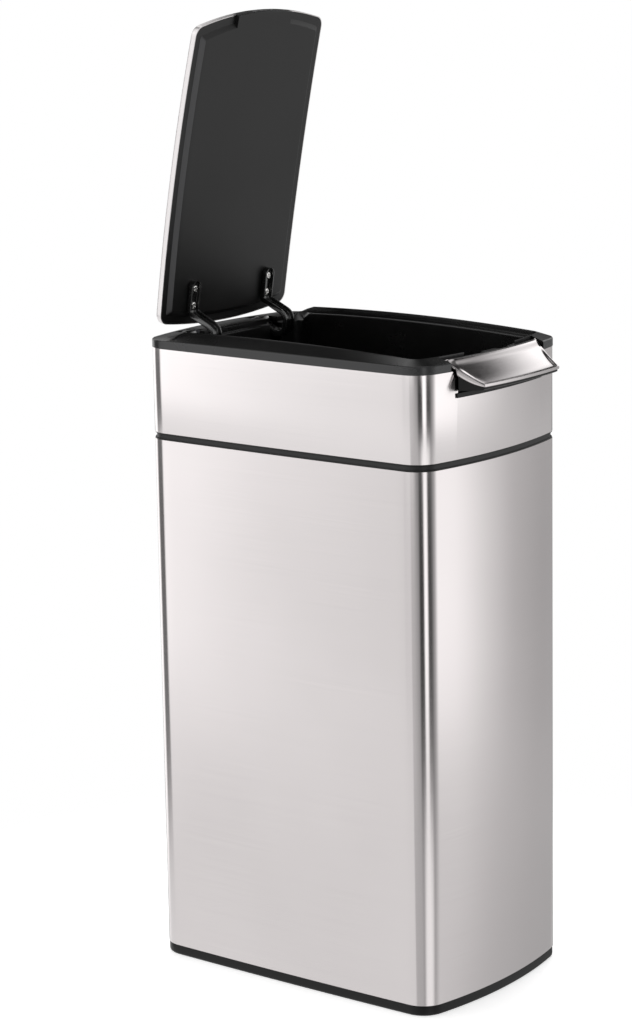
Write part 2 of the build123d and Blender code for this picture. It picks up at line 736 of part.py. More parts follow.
# Bar housing: shelf, back and cheeks behind the band, with a sill over the cut-out's lower edge
inner_inset = steel + fit
cheek_out = housing_cheek_x + housing_cheek
back_front = pin_y + pin_boss + press_room
back_rear = back_front + housing_wall
shelf_low = cutout_z - housing_drop
room = block(-cheek_out, cheek_out, 2 * front_y, back_rear, 0, high)
inside = prism(outline(inner_inset), 0, high) & room
housing = prism(outline(inner_inset), shelf_low, shelf_low + housing_wall) & room
housing += block(-cheek_out, cheek_out, back_front, back_rear, shelf_low, pin_z + pin_boss)
for x0 in (-cheek_out, housing_cheek_x):
    cheek_box = block(x0, x0 + housing_cheek, 2 * front_y, back_rear, shelf_low, pin_z + pin_boss)
    housing += inside & cheek_box
wall_plan = outline(inner_inset) - outline(inner_inset + housing_wall)
housing += prism(wall_plan, shelf_low, cutout_z + fit) & room
sill_half = cutout_half - fit
sill_top = cutout_z + bezel_height
front_only = block(-sill_half, sill_half, 2 * front_y, front_y + end_bow, cutout_z + fit, sill_top)
housing += prism(outline(-bezel_proud) - outline(inner_inset + housing_wall), 0, high) & front_only
lip_low_z = cutout_z - bezel_lap
lip_box = block(-bezel_half, bezel_half, 2 * front_y, front_y + end_bow, lip_low_z, sill_top)
housing += prism(outline(-bezel_proud) - outline(-fit), 0, high) & lip_box
housing -= rod(pin_radius + shaft_gap, -cheek_out, cheek_out, pin_y, pin_z)
add("bar_housing", housing)
pin_half = cheek_out + pin_stub
add("bar_pin", rod(pin_radius, -pin_half, pin_half, pin_y, pin_z))
bar_wire = bar_spring_wire / 2
bar_coil = coil(bar_spring_radius, bar_spring_pitch, bar_spring_turns, bar_spring_leg, bar_wire)
bar_coil_x = carrier_half + bar_wire + run_gap
bar_spring = Pos(bar_coil_x, pin_y, pin_z) * Rot(180, 0, 0) * bar_coil
add("bar_spring_right", bar_spring)
add("bar_spring_left", mirrored(bar_spring))

# One file for each node, and a line with its solids and its box
coil_gaps = (spring_pitch - spring_wire, bar_spring_pitch - bar_spring_wire)
print("gaps between turns", [round(gap, 2) for gap in coil_gaps])
os.makedirs("parts", exist_ok=True)
for name, shape in nodes.items():
    box = shape.bounding_box()
    print(name, len(shape.solids()), [round(v, 1) for v in (*box.min, *box.max)])
    export_step(shape, f"parts/{name}.step")
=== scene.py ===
import json
import bmesh
import bpy
import numpy as np
from mathutils import Matrix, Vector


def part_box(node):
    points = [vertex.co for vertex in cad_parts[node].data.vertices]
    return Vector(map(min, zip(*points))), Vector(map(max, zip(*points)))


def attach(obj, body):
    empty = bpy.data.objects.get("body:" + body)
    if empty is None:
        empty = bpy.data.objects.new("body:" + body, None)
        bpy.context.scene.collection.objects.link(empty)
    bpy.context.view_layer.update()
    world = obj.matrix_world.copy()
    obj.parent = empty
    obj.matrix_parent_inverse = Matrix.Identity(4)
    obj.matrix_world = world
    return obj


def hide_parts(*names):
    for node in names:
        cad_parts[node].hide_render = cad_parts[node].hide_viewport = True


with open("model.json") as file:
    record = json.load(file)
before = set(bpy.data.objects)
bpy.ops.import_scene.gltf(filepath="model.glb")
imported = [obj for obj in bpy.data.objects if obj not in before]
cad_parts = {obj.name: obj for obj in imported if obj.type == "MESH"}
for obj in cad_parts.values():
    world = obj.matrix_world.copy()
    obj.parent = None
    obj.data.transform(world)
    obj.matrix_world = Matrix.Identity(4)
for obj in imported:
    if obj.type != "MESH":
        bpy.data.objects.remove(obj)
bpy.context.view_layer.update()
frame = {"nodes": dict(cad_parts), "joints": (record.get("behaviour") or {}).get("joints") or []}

# Base tray
# Moulded black plastic tray that closes the bottom of the sleeve, seen as a band on the floor.
# Its upstand is a push fit inside the steel, and the mould rounds its lower edge.
sleeve_low, sleeve_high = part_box("lower_shell")
side_bow = 0.002
end_bow = 0.015
corner_round = 0.0265
cutout_half = 0.070
can_half_x = sleeve_high.x - side_bow
can_half_y = sleeve_high.y - end_bow
tray_inset = 0.0004
tray_round = 0.003
tray_floor = 0.006
tray_push = 0.0010
tray_wall = 0.0035
tray_border = 0.020
tray_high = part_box("base_tray")[1].z
crease_angle = np.radians(35.0)
merge_distance = 2e-6


def quarter(half_x, reach, bow, end, turn):
    """Quarter of a plan curve, from the middle of an end to the middle of a side.

    The end and the side are circles through the corner (half_x, reach) that bulge by end and bow.
    The corner is a circle of radius turn inside both: its centre lies where the two circles, each
    made smaller by turn, cross. The end is divided where the bar's cut-out begins. Every size may
    be a column, which gives one row of points for each entry.
    """
    side_radius = (reach**2 + bow**2) / (2 * bow)
    end_radius = (half_x**2 + end**2) / (2 * end)
    side_x = half_x + bow - side_radius
    end_y = reach + end - end_radius
    apart = np.hypot(side_x, end_y)
    near = side_radius - turn
    far = end_radius - turn
    along = (near**2 - far**2 + apart**2) / (2 * apart)
    across = np.sqrt(near**2 - along**2)
    centre_x = side_x + (-along * side_x - across * end_y) / apart
    centre_y = (along * end_y - across * side_x) / apart
    start = np.arctan2(centre_y - end_y, centre_x)
    stop = np.arctan2(centre_y, centre_x - side_x)
    touch = end_radius * np.cos(start)
    middle = np.minimum(cutout_half, touch * 0.9)
    run = np.linspace(0, 1, 10, endpoint=False)
    x_end = np.concatenate([run * middle, middle + run * (touch - middle)], 1)
    y_end = end_y + np.sqrt(end_radius**2 - x_end**2)
    angle = start + np.linspace(0, 1, 28, endpoint=False) * (stop - start)
    x_turn = centre_x + turn * np.cos(angle)
    y_turn = centre_y + turn * np.sin(angle)
    angle = stop * np.linspace(1, 0, 18)
    x_side = side_x + side_radius * np.cos(angle)
    y_side = side_radius * np.sin(angle)
    return np.concatenate([x_end, x_turn, x_side], 1), np.concatenate([y_end, y_turn, y_side], 1)


def plan_loop(half_x, front, back, bows, turns):
    """Closed plan curves, anticlockwise from the middle of the front.

    A front and a rear quarter make the right half, and the left half is its mirror image. The bows
    are those of the sides, the front and the back, the turns those of the front and rear corners.
    """
    sizes = np.broadcast_arrays(half_x, front, back, turns[0], turns[1])
    half_x, front, back, front_turn, back_turn = [np.reshape(size, (-1, 1)) for size in sizes]
    middle = (front + back) / 2
    reach = (back - front) / 2
    x_front, y_front = quarter(half_x, reach, bows[0], bows[1], front_turn)
    x_back, y_back = quarter(half_x, reach, bows[0], bows[2], back_turn)
    x = np.concatenate([x_front, x_back[:, -2::-1]], 1)
    y = np.concatenate([middle - y_front, middle + y_back[:, -2::-1]], 1)
    x = np.concatenate([x, -x[:, -2:0:-1]], 1)
    y = np.concatenate([y, y[:, -2:0:-1]], 1)
    return np.stack([x, y], -1)


def can_loop(inset):
    """Plan curves of the can, drawn in by inset."""
    turn = corner_round - inset
    bows = (side_bow, end_bow, end_bow)
    front, back = inset - can_half_y, can_half_y - inset
    return plan_loop(can_half_x - inset, front, back, bows, (turn, turn))


def rounded(corners, radius, closed=True, steps=5):
    """Line through corners that are true arcs.

    Each arc is a conic through both tangent points, pulled to the corner with the weight
    cos(turn / 2).
    """
    corners = np.asarray(corners, float)
    before = np.roll(corners, 1, 0) - corners
    after = np.roll(corners, -1, 0) - corners
    before /= np.linalg.norm(before, axis=1, keepdims=True)
    after /= np.linalg.norm(after, axis=1, keepdims=True)
    half_turn = (np.pi - np.arccos(np.clip((before * after).sum(1), -1, 1))) / 2
    length = (np.broadcast_to(radius, len(corners)) * np.tan(half_turn))[:, None]
    t = np.linspace(0, 1, steps + 1)[None, :, None]
    pull = 2 * np.cos(half_turn)[:, None, None] * t * (1 - t)
    start = (corners + before * length)[:, None]
    stop = (corners + after * length)[:, None]
    arcs = start * (1 - t) ** 2 + corners[:, None] * pull + stop * t**2
    arcs /= (1 - t) ** 2 + pull + t**2
    if closed:
        return arcs.reshape(-1, 2)
    return np.concatenate([corners[:1], arcs[1:-1].reshape(-1, 2), corners[-1:]])


def stepped(insets, heights):
    """Corners of a profile that goes across at each height and up or down at each inset.

    It begins and ends with whichever of the two has an entry more.
    """
    insets, heights = np.repeat(insets, 2), np.repeat(heights, 2)
    if len(insets) > len(heights):
        return np.stack([insets[1:-1], heights], -1)
    return np.stack([insets, heights[1:-1]], -1)


def raised_to(loops, heights):
    """Rows of points: plan curves with a height for each row or for each point."""
    heights = np.broadcast_to(heights, loops.shape[:2])
    return np.concatenate([loops, heights[..., None]], -1)


def carried_round(profile):
    """Rows of points: a profile of (inset, height) pairs carried round the can's plan curve."""
    profile = np.asarray(profile)
    return raised_to(can_loop(profile[:, 0]), profile[:, 1:])


def drawn_in(loop, share, middle_y=0.0):
    """Copies of a plan curve drawn in to a share of its size about (0, middle_y), 0 for a pole."""
    middle = np.array([0, middle_y])
    return middle + np.reshape(share, (-1, 1, 1)) * (loop - middle)


def grid_faces(rows, columns, wrap_rows=False, wrap_columns=True):
    """Corner numbers of the four-sided faces of a grid, which may close on itself either way."""
    index = np.arange(rows * columns).reshape(rows, columns)
    if wrap_rows:
        index = np.concatenate([index, index[:1]])
    if wrap_columns:
        index = np.concatenate([index, index[:, :1]], 1)
    corners = [index[:-1, :-1], index[:-1, 1:], index[1:, 1:], index[1:, :-1]]
    return np.stack(corners, -1).reshape(-1, 4)


def patch(points, **wraps):
    """A grid of points together with its faces."""
    return points, grid_faces(*points.shape[:2], **wraps)


def add_object(name, data):
    """New object in the scene."""
    thing = bpy.data.objects.new(name, data)
    bpy.context.scene.collection.objects.link(thing)
    return thing


def make_piece(name, patches, closed=True):
    """Mesh object made of patches, each a pair of grid points and faces; closed ones face outwards.

    A closed patch faces outwards when the volume under its faces, its corners' places times the
    cross product of its diagonals, summed, is positive. Points that coincide are merged.
    """
    all_points = []
    all_faces = []
    first = 0
    for points, faces in patches:
        points = points.reshape(-1, 3)
        a, b, c, d = [points[faces[:, i]] - points.mean(0) for i in range(4)]
        volume = ((a + b + c + d) * np.cross(c - a, d - b)).sum()
        all_points.append(points)
        all_faces.append((faces[:, ::-1] if closed and volume < 0 else faces) + first)
        first += len(points)
    mesh = bpy.data.meshes.new(name)
    mesh.from_pydata(np.concatenate(all_points).tolist(), [], np.concatenate(all_faces).tolist())
    merged = bmesh.new()
    merged.from_mesh(mesh)
    bmesh.ops.remove_doubles(merged, verts=merged.verts, dist=merge_distance)
    merged.to_mesh(mesh)
    merged.free()
    piece = add_object(name, mesh)
    smooth(piece)
    return piece


def smooth(piece):
    """Smooth shading, with a crease wherever two faces meet at more than the crease angle."""
    mesh = piece.data
    mesh.polygons.foreach_set("use_smooth", np.ones(len(mesh.polygons), bool))
    mesh.set_sharp_from_angle(angle=crease_angle)


def finished(piece, node, body, material):
    """Gives a piece its finish, and puts it on its body in the place of its solid."""
    piece.data.materials.clear()
    piece.data.materials.append(material)
    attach(piece, body)
    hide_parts(node)


def add_node(tree, kind, inputs, **settings):
    """Shader node of a kind with its settings, and each input linked or set."""
    node = tree.nodes.new("ShaderNode" + kind)
    for key, value in settings.items():
        setattr(node, key, value)
    for key, value in inputs.items():
        if isinstance(value, bpy.types.NodeSocket):
            tree.links.new(value, node.inputs[key])
        else:
            node.inputs[key].default_value = value
    return node


def noise(tree, size, detail, scale=(1, 1, 1)):
    """Noise on Object coordinates, which may be stretched by a scale for each axis."""
    place = add_node(tree, "TexCoord", {}).outputs["Object"]
    fitted = add_node(tree, "Mapping", {"Vector": place, "Scale": scale})
    inputs = {"Vector": fitted.outputs["Vector"], "Scale": size, "Detail": detail}
    return add_node(tree, "TexNoise", inputs).outputs["Fac"]


def ramped(tree, value, start, end, low=0.0, high=1.0, **settings):
    """A number that goes from low to high as a value goes from start to end."""
    inputs = {"Value": value, "From Min": start, "From Max": end, "To Min": low, "To Max": high}
    return add_node(tree, "MapRange", inputs, **settings).outputs["Result"]


def new_finish(name, levels):
    """New material and its node tree, with some of the shader's inputs set to a level."""
    material = bpy.data.materials.new(name)
    material.use_nodes = True
    for key, level in levels.items():
        material.node_tree.nodes["Principled BSDF"].inputs[key].default_value = level
    return material, material.node_tree


def surfaced(tree, patterns, tones, rough, strength, relief):
    """Joins three patterns to a shader: one for the tone, one for the gloss, one for the relief.

    A noise keeps mostly between 0.3 and 0.7, so tone and gloss pass from end to end over that span.
    """
    span = (0.3, 0.7)
    shader = tree.nodes["Principled BSDF"].inputs
    ramp = add_node(tree, "ValToRGB", {"Fac": patterns[0]})
    for stop, position, tone in zip(ramp.color_ramp.elements, span, tones):
        stop.position = position
        stop.color = (*tone, 1)
    tree.links.new(ramp.outputs["Color"], shader["Base Color"])
    tree.links.new(ramped(tree, patterns[1], *span, *rough), shader["Roughness"])
    inputs = {"Height": patterns[2], "Strength": strength, "Distance": relief}
    raised = add_node(tree, "Bump", inputs)
    tree.links.new(raised.outputs["Normal"], shader["Normal"])


def greys(dark, pale):
    """Two neutral tones."""
    return (dark,) * 3, (pale,) * 3


def moulded_plastic(name, tones, rough, specular=0.5, grain=2600.0, relief=0.00003):
    """Dyed plastic: tone and gloss drift over the piece, and the mould's fine grain is raised."""
    material, tree = new_finish(name, {"Specular IOR Level": specular})
    drift = noise(tree, 14.0, 4.0)
    surfaced(tree, (drift, drift, noise(tree, grain, 1.0)), tones, rough, 0.5, relief)
    return material


tray_plastic = moulded_plastic("tray_plastic", greys(0.004, 0.007), (0.38, 0.48), 0.25)
tray_profile = rounded(
    stepped(
        [tray_border, tray_inset, tray_push, tray_wall, tray_border],
        [0.0, sleeve_low.z, tray_high, tray_floor],
    ),
    [0, tray_round, 0.0002, 0.0001, 0.0005, 0.0005, 0.001, 0],
    closed=False,
)
tray_loop = can_loop(tray_border)[0]
tray_rows = np.concatenate(
    [
        raised_to(drawn_in(tray_loop, [0.0, 0.6]), 0.0),
        carried_round(tray_profile),
        raised_to(drawn_in(tray_loop, [0.6, 0.0]), tray_floor),
    ]
)
tray = make_piece("base_tray_moulding", [patch(tray_rows)])
finished(tray, "base_tray", "body", tray_plastic)

# Grip pads
# Four discs of dark rubber let into the underside of the tray, so that the can does not slide.
# They are pressed into round pockets and stand level with the tray's underside.


def dress(material, *nodes):
    """Gives solids that stay in view their finish."""
    for node in nodes:
        mesh = frame["nodes"][node].data
        mesh.materials.clear()
        mesh.materials.append(material)


pad_tones = (0.020, 0.020, 0.020), (0.034, 0.033, 0.032)
pad_rubber = moulded_plastic("pad_rubber", pad_tones, (0.7, 0.85), 0.3, 900.0)
dress(pad_rubber, "grip_pads")

# Lower sleeve
# Tall sleeve of thin stainless sheet, bent round the can's plan and welded at the back.
# It is brushed along its length before bending, so the fine lines run level round the body.
sheet = 0.0008
sheet_edge = 0.0002
sheet_rough = (0.17, 0.21)
level_brush = (6.0, 6.0, 2400.0)
gloss_stretch = 0.85
body_tones = (0.635, 0.600, 0.600), (0.685, 0.648, 0.648)


def brushed_steel(name, brush, tones, rough, stretch=0.0):
    """Brushed stainless sheet: noise drawn out along the brushing sets tone, gloss and relief.

    On upright walls a tangent that runs round Z, turned by a quarter, draws the gloss out across
    the lines.
    """
    material, tree = new_finish(name, {"Metallic": 1.0})
    lines = noise(tree, 1.0, 6.0, brush)
    inputs = {"Factor": 0.5, "A": lines, "B": noise(tree, 6.0, 2.0)}
    cloudy = add_node(tree, "Mix", inputs).outputs["Result"]
    surfaced(tree, (cloudy, lines, lines), tones, rough, 0.08, 0.00001)
    if stretch:
        shader = tree.nodes["Principled BSDF"].inputs
        shader["Anisotropic"].default_value = stretch
        shader["Anisotropic Rotation"].default_value = 0.25
        round_z = add_node(tree, "Tangent", {}, direction_type="RADIAL", axis="Z")
        tree.links.new(round_z.outputs["Tangent"], shader["Tangent"])
    return material


def sheet_band(low, high):
    """Closed profile of a band of sheet, with its edges broken."""
    return rounded(stepped([0, sheet], [low, high, low]), sheet_edge, steps=2)


body_steel = brushed_steel("body_steel", level_brush, body_tones, sheet_rough, gloss_stretch)
sleeve_rows = carried_round(sheet_band(sleeve_low.z, sleeve_high.z))
sleeve = make_piece("lower_sleeve", [patch(sleeve_rows, wrap_rows=True)])
finished(sleeve, "lower_shell", "body", body_steel)

# Seam ring
# Black plastic ring pushed into the top of the sleeve: a thin lip covers the sheet's edge.
# Above the lip it is set back, and that recess is the dark seam round the can.
seam_low, seam_top = [corner.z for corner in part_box("seam_ring")]
seam_lip = sleeve_high.z + 0.0012
seam_edge, seam_recess, seam_inner = 0.0004, 0.0016, 0.0080
plug_top = sleeve_high.z - 0.0020
plug_out, plug_in = 0.0010, 0.0030
seam_round = 0.0003
seam_plastic = moulded_plastic("seam_plastic", greys(0.004, 0.007), (0.4, 0.5))
seam_profile = rounded(
    stepped(
        [seam_edge, seam_recess, seam_inner, plug_in, plug_out],
        [sleeve_high.z, seam_lip, seam_top, plug_top, seam_low, sleeve_high.z],
    ),
    seam_round,
    steps=2,
)
seam = make_piece("seam_ring_moulding", [patch(carried_round(seam_profile), wrap_rows=True)])
finished(seam, "seam_ring", "body", seam_plastic)

# Collar ring
# Black plastic ring that closes the bottom of the collar, open in the middle for the bag.
# A spigot under it drops into the seam ring, so the collar is centred and lifts straight off.
ring_low, ring_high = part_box("collar_ring")
collar_low, collar_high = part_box("collar_shell")
ring_inset = 0.0004
ring_push = 0.0010
spigot_out = 0.0086
spigot_in = 0.0106
ring_top = ring_low.z + 0.022
crest_inset = 0.014
ledge_width = 0.0095
mouth_rear = 0.1455
mouth_round = 0.010
mouth = (crest_inset + ledge_width, mouth_rear, mouth_round, mouth_round)
straight = 1e-5


def opening_loop(opening, grow):
    """Plan curves of an opening with a straight rear side, grown by a wall.

    The opening is given by its inset from the can, its rear, and its front and rear corners.
    """
    grow = np.asarray(grow, float)
    inset = opening[0] - grow
    bows = (side_bow, end_bow, straight)
    turns = (opening[2] + grow, opening[3] + grow)
    return plan_loop(can_half_x - inset, inset - can_half_y, opening[1] + grow, bows, turns)


ring_outer = stepped(
    [spigot_in, spigot_out, ring_inset, ring_push],
    [ring_top, ring_low.z, ring_top, collar_low.z, ring_high.z],
)
ring_mouth = raised_to(opening_loop(mouth, [0.0, 0.0]), np.array([[ring_high.z], [ring_top]]))
ring_rows = np.concatenate([carried_round(ring_outer), ring_mouth])
ring = make_piece("collar_ring_moulding", [patch(ring_rows, wrap_rows=True)])
finished(ring, "collar_ring", "collar", seam_plastic)

# Collar screws
# Four zinc-plated screws driven up through the collar ring into bosses of the rim.
# They clamp the steel band between the two mouldings and are seen only from below.
zinc_tones = (0.50, 0.51, 0.53), (0.64, 0.65, 0.66)


def plated_steel(name, tones, rough):
    """Plated or bright steel: a cloudy tone and gloss, with fine pits."""
    material, tree = new_finish(name, {"Metallic": 1.0})
    cloud = noise(tree, 160.0, 4.0)
    surfaced(tree, (cloud, cloud, noise(tree, 2400.0, 2.0)), tones, rough, 0.2, 0.00002)
    return material


zinc_plate = plated_steel("zinc_plate", zinc_tones, (0.28, 0.42))
dress(zinc_plate, "collar_screws")

# Collar band
# Short band of the same brushed sheet between collar ring and rim.
# Its front is cut away in the middle, where the touch bar passes through.
cutout_low, cutout_high = 0.622, 0.7
cutout_rear = collar_low.y + 0.030
far = 0.3
# Painted light: the collar's steel is a paler copy of the sleeve's same sheet, standing in for the
# brighter light on the upper band.
collar_lit_tones = (0.72, 0.685, 0.685), (0.77, 0.73, 0.73)


def box_plan(x0, x1, y0, y1):
    """Plan of a box, anticlockwise."""
    return np.array([(x0, y0), (x1, y0), (x1, y1), (x0, y1)])


def cut_away(piece, prisms):
    """Takes upright prisms out of a piece: anticlockwise plans, with a low and a high level."""
    for plan, low, high in prisms:
        count = len(plan)
        corners = np.concatenate([np.insert(plan, 2, low, 1), np.insert(plan, 2, high, 1)])
        floor_and_top = [list(range(count))[::-1], list(range(count, 2 * count))]
        mesh = bpy.data.meshes.new("cutter")
        mesh.from_pydata(corners.tolist(), [], [*floor_and_top, *grid_faces(2, count).tolist()])
        cutter = add_object("cutter", mesh)
        step = piece.modifiers.new("cut", "BOOLEAN")
        step.object = cutter
        step.operation = "DIFFERENCE"
        step.solver = "EXACT"
        bpy.context.view_layer.update()
        worked = piece.evaluated_get(bpy.context.evaluated_depsgraph_get())
        shaped = bpy.data.meshes.new_from_object(worked)
        piece.modifiers.remove(step)
        old = piece.data
        piece.data = shaped
        bpy.data.meshes.remove(old)
        bpy.data.objects.remove(cutter)
        bpy.data.meshes.remove(mesh)
        shaped.name = piece.name
    smooth(piece)


collar_rows = carried_round(sheet_band(collar_low.z, collar_high.z))
collar = make_piece("collar_band", [patch(collar_rows, wrap_rows=True)])
cutout = box_plan(-cutout_half, cutout_half, -far, cutout_rear)
cut_away(collar, [(cutout, cutout_low, cutout_high)])
collar_steel = brushed_steel("collar_steel", level_brush, collar_lit_tones, sheet_rough, gloss_stretch)
finished(collar, "collar_shell", "collar", collar_steel)

# Top rim
# One black plastic moulding: outer band, slope up to a crest, ledge for the lid, rear deck and
# inner wall. It is pushed over the steel band and drawn down by the collar screws.
# Gaps in it let the bar, the latch and the arms through.
collar_top = collar_high.z
band_top = collar_top + 0.0083
crest_top = band_top + 0.0106
ledge_peak = crest_top - 0.006
deck_top = band_top + 0.0012
deck_front = 0.150
rear_ledge = deck_top - 0.0062
overhang = 0.0005
corner_y = 0.1498
rail_end = 0.132
seat_round = 0.003
seat = (crest_inset, deck_front, corner_round - crest_inset, seat_round)
rim_wall = 0.0022
rim_plate, deck_plate = 0.003, 0.0027
least_wall = 0.0003
skirt_low = collar_top - 0.015
skirt_out, skirt_in = 0.001, 0.003
arch_radius = 3.022
arch_middle = 0.027
mouth_edge_x = 0.0974
seat_rear = 0.149
sink_start, sink_run = 0.1345, 0.002
latch_half, latch_rear, latch_under = 0.046, -0.12, 0.6452


def arch(y, peak):
    """Height at y of the lengthwise arch, a circle whose top is at peak."""
    return peak - arch_radius + np.sqrt(arch_radius**2 - (y - arch_middle) ** 2)


def crest_height(y):
    """Height of the crest: level in front, arched along the sides, sinking to the deck behind."""
    side = arch(np.clip(y, -corner_y, rail_end), crest_top)
    sunk = np.clip((y - rail_end) / (corner_y - rail_end), 0, 1)
    return side + sunk * (deck_top - side)


def eased(value):
    """Smooth step from 0 to 1: three times the square less twice the cube of the clipped value."""
    value = np.clip(value, 0, 1)
    return value * value * (3 - 2 * value)


def ledge_height(loops, sunk):
    """Height of the ledge: it follows the arch, and sinks by a share to the rear ledge."""
    y = loops[..., 1]
    arched = np.minimum(arch(y, ledge_peak), crest_height(y) - least_wall)
    return arched + sunk * (rear_ledge - arched)


def under_height(loops):
    """Height of the rim's underside: lower under the latch in front, higher under the deck."""
    latch = (loops[..., 1] < latch_rear) & (abs(loops[..., 0]) < latch_half)
    front = np.where(latch, latch_under, arch(-sleeve_high.y, ledge_peak) - rim_plate)
    return np.where(loops[..., 1] > deck_front, deck_top - deck_plate, front)


band_profile = [
    (-0.0001, collar_top),
    (-overhang, collar_top + 0.0004),
    (-overhang, band_top - 0.0012),
    (-overhang + 0.0002, band_top - 0.0004),
]
slope_share = np.array([[0.05], [0.12], [0.35], [0.6], [0.85], [0.95]])
slope_loops = can_loop(slope_share[:, 0] * (crest_inset + overhang) - overhang)
slope_rise = slope_share * (crest_height(slope_loops[..., 1]) - band_top)
edge_loops = opening_loop(seat, [0.0005, 0.0001, 0.0])
edge_drop = np.array([[0.0002], [0.0004], [0.0009]])
foot_loops = opening_loop(seat, [0.0, -0.0007])
foot_sunk = eased((mouth_edge_x + 0.001 - abs(foot_loops[..., 0])) / sink_run)
foot_sunk = foot_sunk * (foot_loops[..., 1] > seat_rear)
foot_rise = np.array([[0.0007], [0.0]])
lip_loops = opening_loop(mouth, [0.0008, 0.0002, 0.0, 0.0, 0.0])
lip_sunk = eased((lip_loops[..., 1] - sink_start) / sink_run)
lip_drop = np.array([[0.0], [0.0002], [0.0008], [0.0014], [0.0030]])
under_loops = np.concatenate([opening_loop(mouth, rim_wall), can_loop(skirt_in)])
skirt_profile = [(skirt_in, skirt_low), (skirt_out, skirt_low), (skirt_out, collar_top)]
rim_rows = np.concatenate(
    [
        carried_round(band_profile),
        raised_to(slope_loops, band_top + slope_rise),
        raised_to(edge_loops, crest_height(edge_loops[..., 1]) - edge_drop),
        raised_to(foot_loops, ledge_height(foot_loops, foot_sunk) + foot_rise),
        raised_to(lip_loops, ledge_height(lip_loops, lip_sunk) - lip_drop),
        raised_to(opening_loop(mouth, [0.0, rim_wall]), ring_high.z),
        raised_to(under_loops, under_height(under_loops)),
        carried_round(skirt_profile),
    ]
)
rim = make_piece("top_rim_moulding", [patch(rim_rows, wrap_rows=True)])
front_radius = (can_half_x**2 + end_bow**2) / (2 * end_bow)
bow_middle = front_radius - sleeve_high.y


def bowed(x, y):
    """Place on the circle about the middle of the front's bow that meets the middle plane at y."""
    return bow_middle - np.sqrt((bow_middle - y) ** 2 - x**2)


cut_top = 0.8
bar_gap_half, bar_gap_low = 0.0795, 0.6297
bar_gap_rear = crest_inset + 0.0002 - sleeve_high.y
gap_x = np.linspace(-bar_gap_half, bar_gap_half, 33)
gap_edge = np.stack([gap_x, bowed(gap_x, bar_gap_rear)], -1)[::-1]
bar_gap = np.concatenate([[(-bar_gap_half, -far), (bar_gap_half, -far)], gap_edge])
hook_gap_half, hook_gap_rear, hook_gap_low = 0.014, -0.1673, 0.6307
hook_gap = box_plan(-hook_gap_half, hook_gap_half, -far, hook_gap_rear)
tongue_gap_half, tongue_gap_rear, tongue_gap_low = 0.0436, -0.05, 0.6479
tongue_gap = box_plan(-tongue_gap_half, tongue_gap_half, -far, tongue_gap_rear)
rim_cuts = [(bar_gap, bar_gap_low), (hook_gap, hook_gap_low), (tongue_gap, tongue_gap_low)]
slot_rear = 0.1755
arm_slot, spring_slot = (0.060, 0.009, 0.136, 0.610), (0.056, 0.013, 0.157, 0.640)
for side in (-1, 1):
    for middle, half, front, low in (arm_slot, spring_slot):
        plan = box_plan(side * middle - half, side * middle + half, front, slot_rear)
        rim_cuts.append((plan, low))
cut_away(rim, [(plan, low, cut_top) for plan, low in rim_cuts])


def worked_out(tree, operation, *values):
    """Result of one step of arithmetic on one to three numbers."""
    inputs = dict(enumerate(values))
    return add_node(tree, "Math", inputs, operation=operation).outputs["Value"]


def mixed(tree, share, first, second):
    """Colour that passes from the first to the second as a share goes from 0 to 1."""
    inputs = {"Fac": share, "Color1": first, "Color2": second}
    return add_node(tree, "MixRGB", inputs).outputs["Color"]


def lay_over(tree, share, tone):
    """Lays a tone over a material's own colour, by a share."""
    colour = tree.nodes["Principled BSDF"].inputs["Base Color"]
    tree.links.new(mixed(tree, share, colour.links[0].from_socket, (*tone, 1.0)), colour)


rim_relief = 0.00001
rim_plastic = moulded_plastic(
    "rim_plastic", greys(0.004, 0.007), (0.24, 0.32), 0.45, relief=rim_relief
)
# Painted sheen: the rim's outward-facing faces in front of the deck get a paler tone that stands in
# for the light the outer band reflects.
band_sheen_tone = (0.035, 0.035, 0.036)
tree = rim_plastic.node_tree
place = add_node(tree, "TexCoord", {}).outputs
inputs = {0: place["Object"], 1: (1, 1, 0)}
level = add_node(tree, "VectorMath", inputs, operation="MULTIPLY").outputs["Vector"]
inputs = {0: level, 1: place["Normal"]}
outward = add_node(tree, "VectorMath", inputs, operation="DOT_PRODUCT").outputs["Value"]
depth = add_node(tree, "SeparateXYZ", {"Vector": place["Object"]}).outputs["Y"]
outside = ramped(tree, outward, 0.08, 0.115)
before_deck = ramped(tree, depth, 0.145, 0.165, 1.0, 0.0)
lay_over(tree, worked_out(tree, "MULTIPLY", outside, before_deck), band_sheen_tone)
finished(rim, "top_rim", "collar", rim_plastic)

# Hinge brackets and axle
# Two bent and zinc-plated steel brackets screwed to the inside of the rim, under the rear deck.
# Each has two cheeks with open cradles, in which the axle of both arms lies.
axle_tones = (0.42, 0.42, 0.43), (0.56, 0.56, 0.57)
axle_steel = plated_steel("axle_steel", axle_tones, (0.18, 0.28))
dress(zinc_plate, "hinge_bracket_left", "hinge_bracket_right", "bracket_screws")
dress(axle_steel, "hinge_axle")

# Springs
# Torsion springs of hard drawn wire: two on the axle throw the lid open, two on the pin lift the
# bar. They are wound cold and blued by the heat treatment, so they are darker than plated parts.
wire_tones = (0.13, 0.13, 0.15), (0.24, 0.24, 0.26)
spring_wire = plated_steel("spring_wire", wire_tones, (0.25, 0.38))
dress(spring_wire, "lid_spring_left", "lid_spring_right", "bar_spring_left", "bar_spring_right")

# Bar housing and pin
# Black plastic tray behind the cut-out of the steel band; its sill covers the cut edge under the
# bar. A steel pin lies across it, and the touch bar rocks on that pin.
bar_plastic = moulded_plastic("bar_plastic", greys(0.003, 0.006), (0.35, 0.45), 0.3)
dress(bar_plastic, "bar_housing")
dress(axle_steel, "bar_pin")

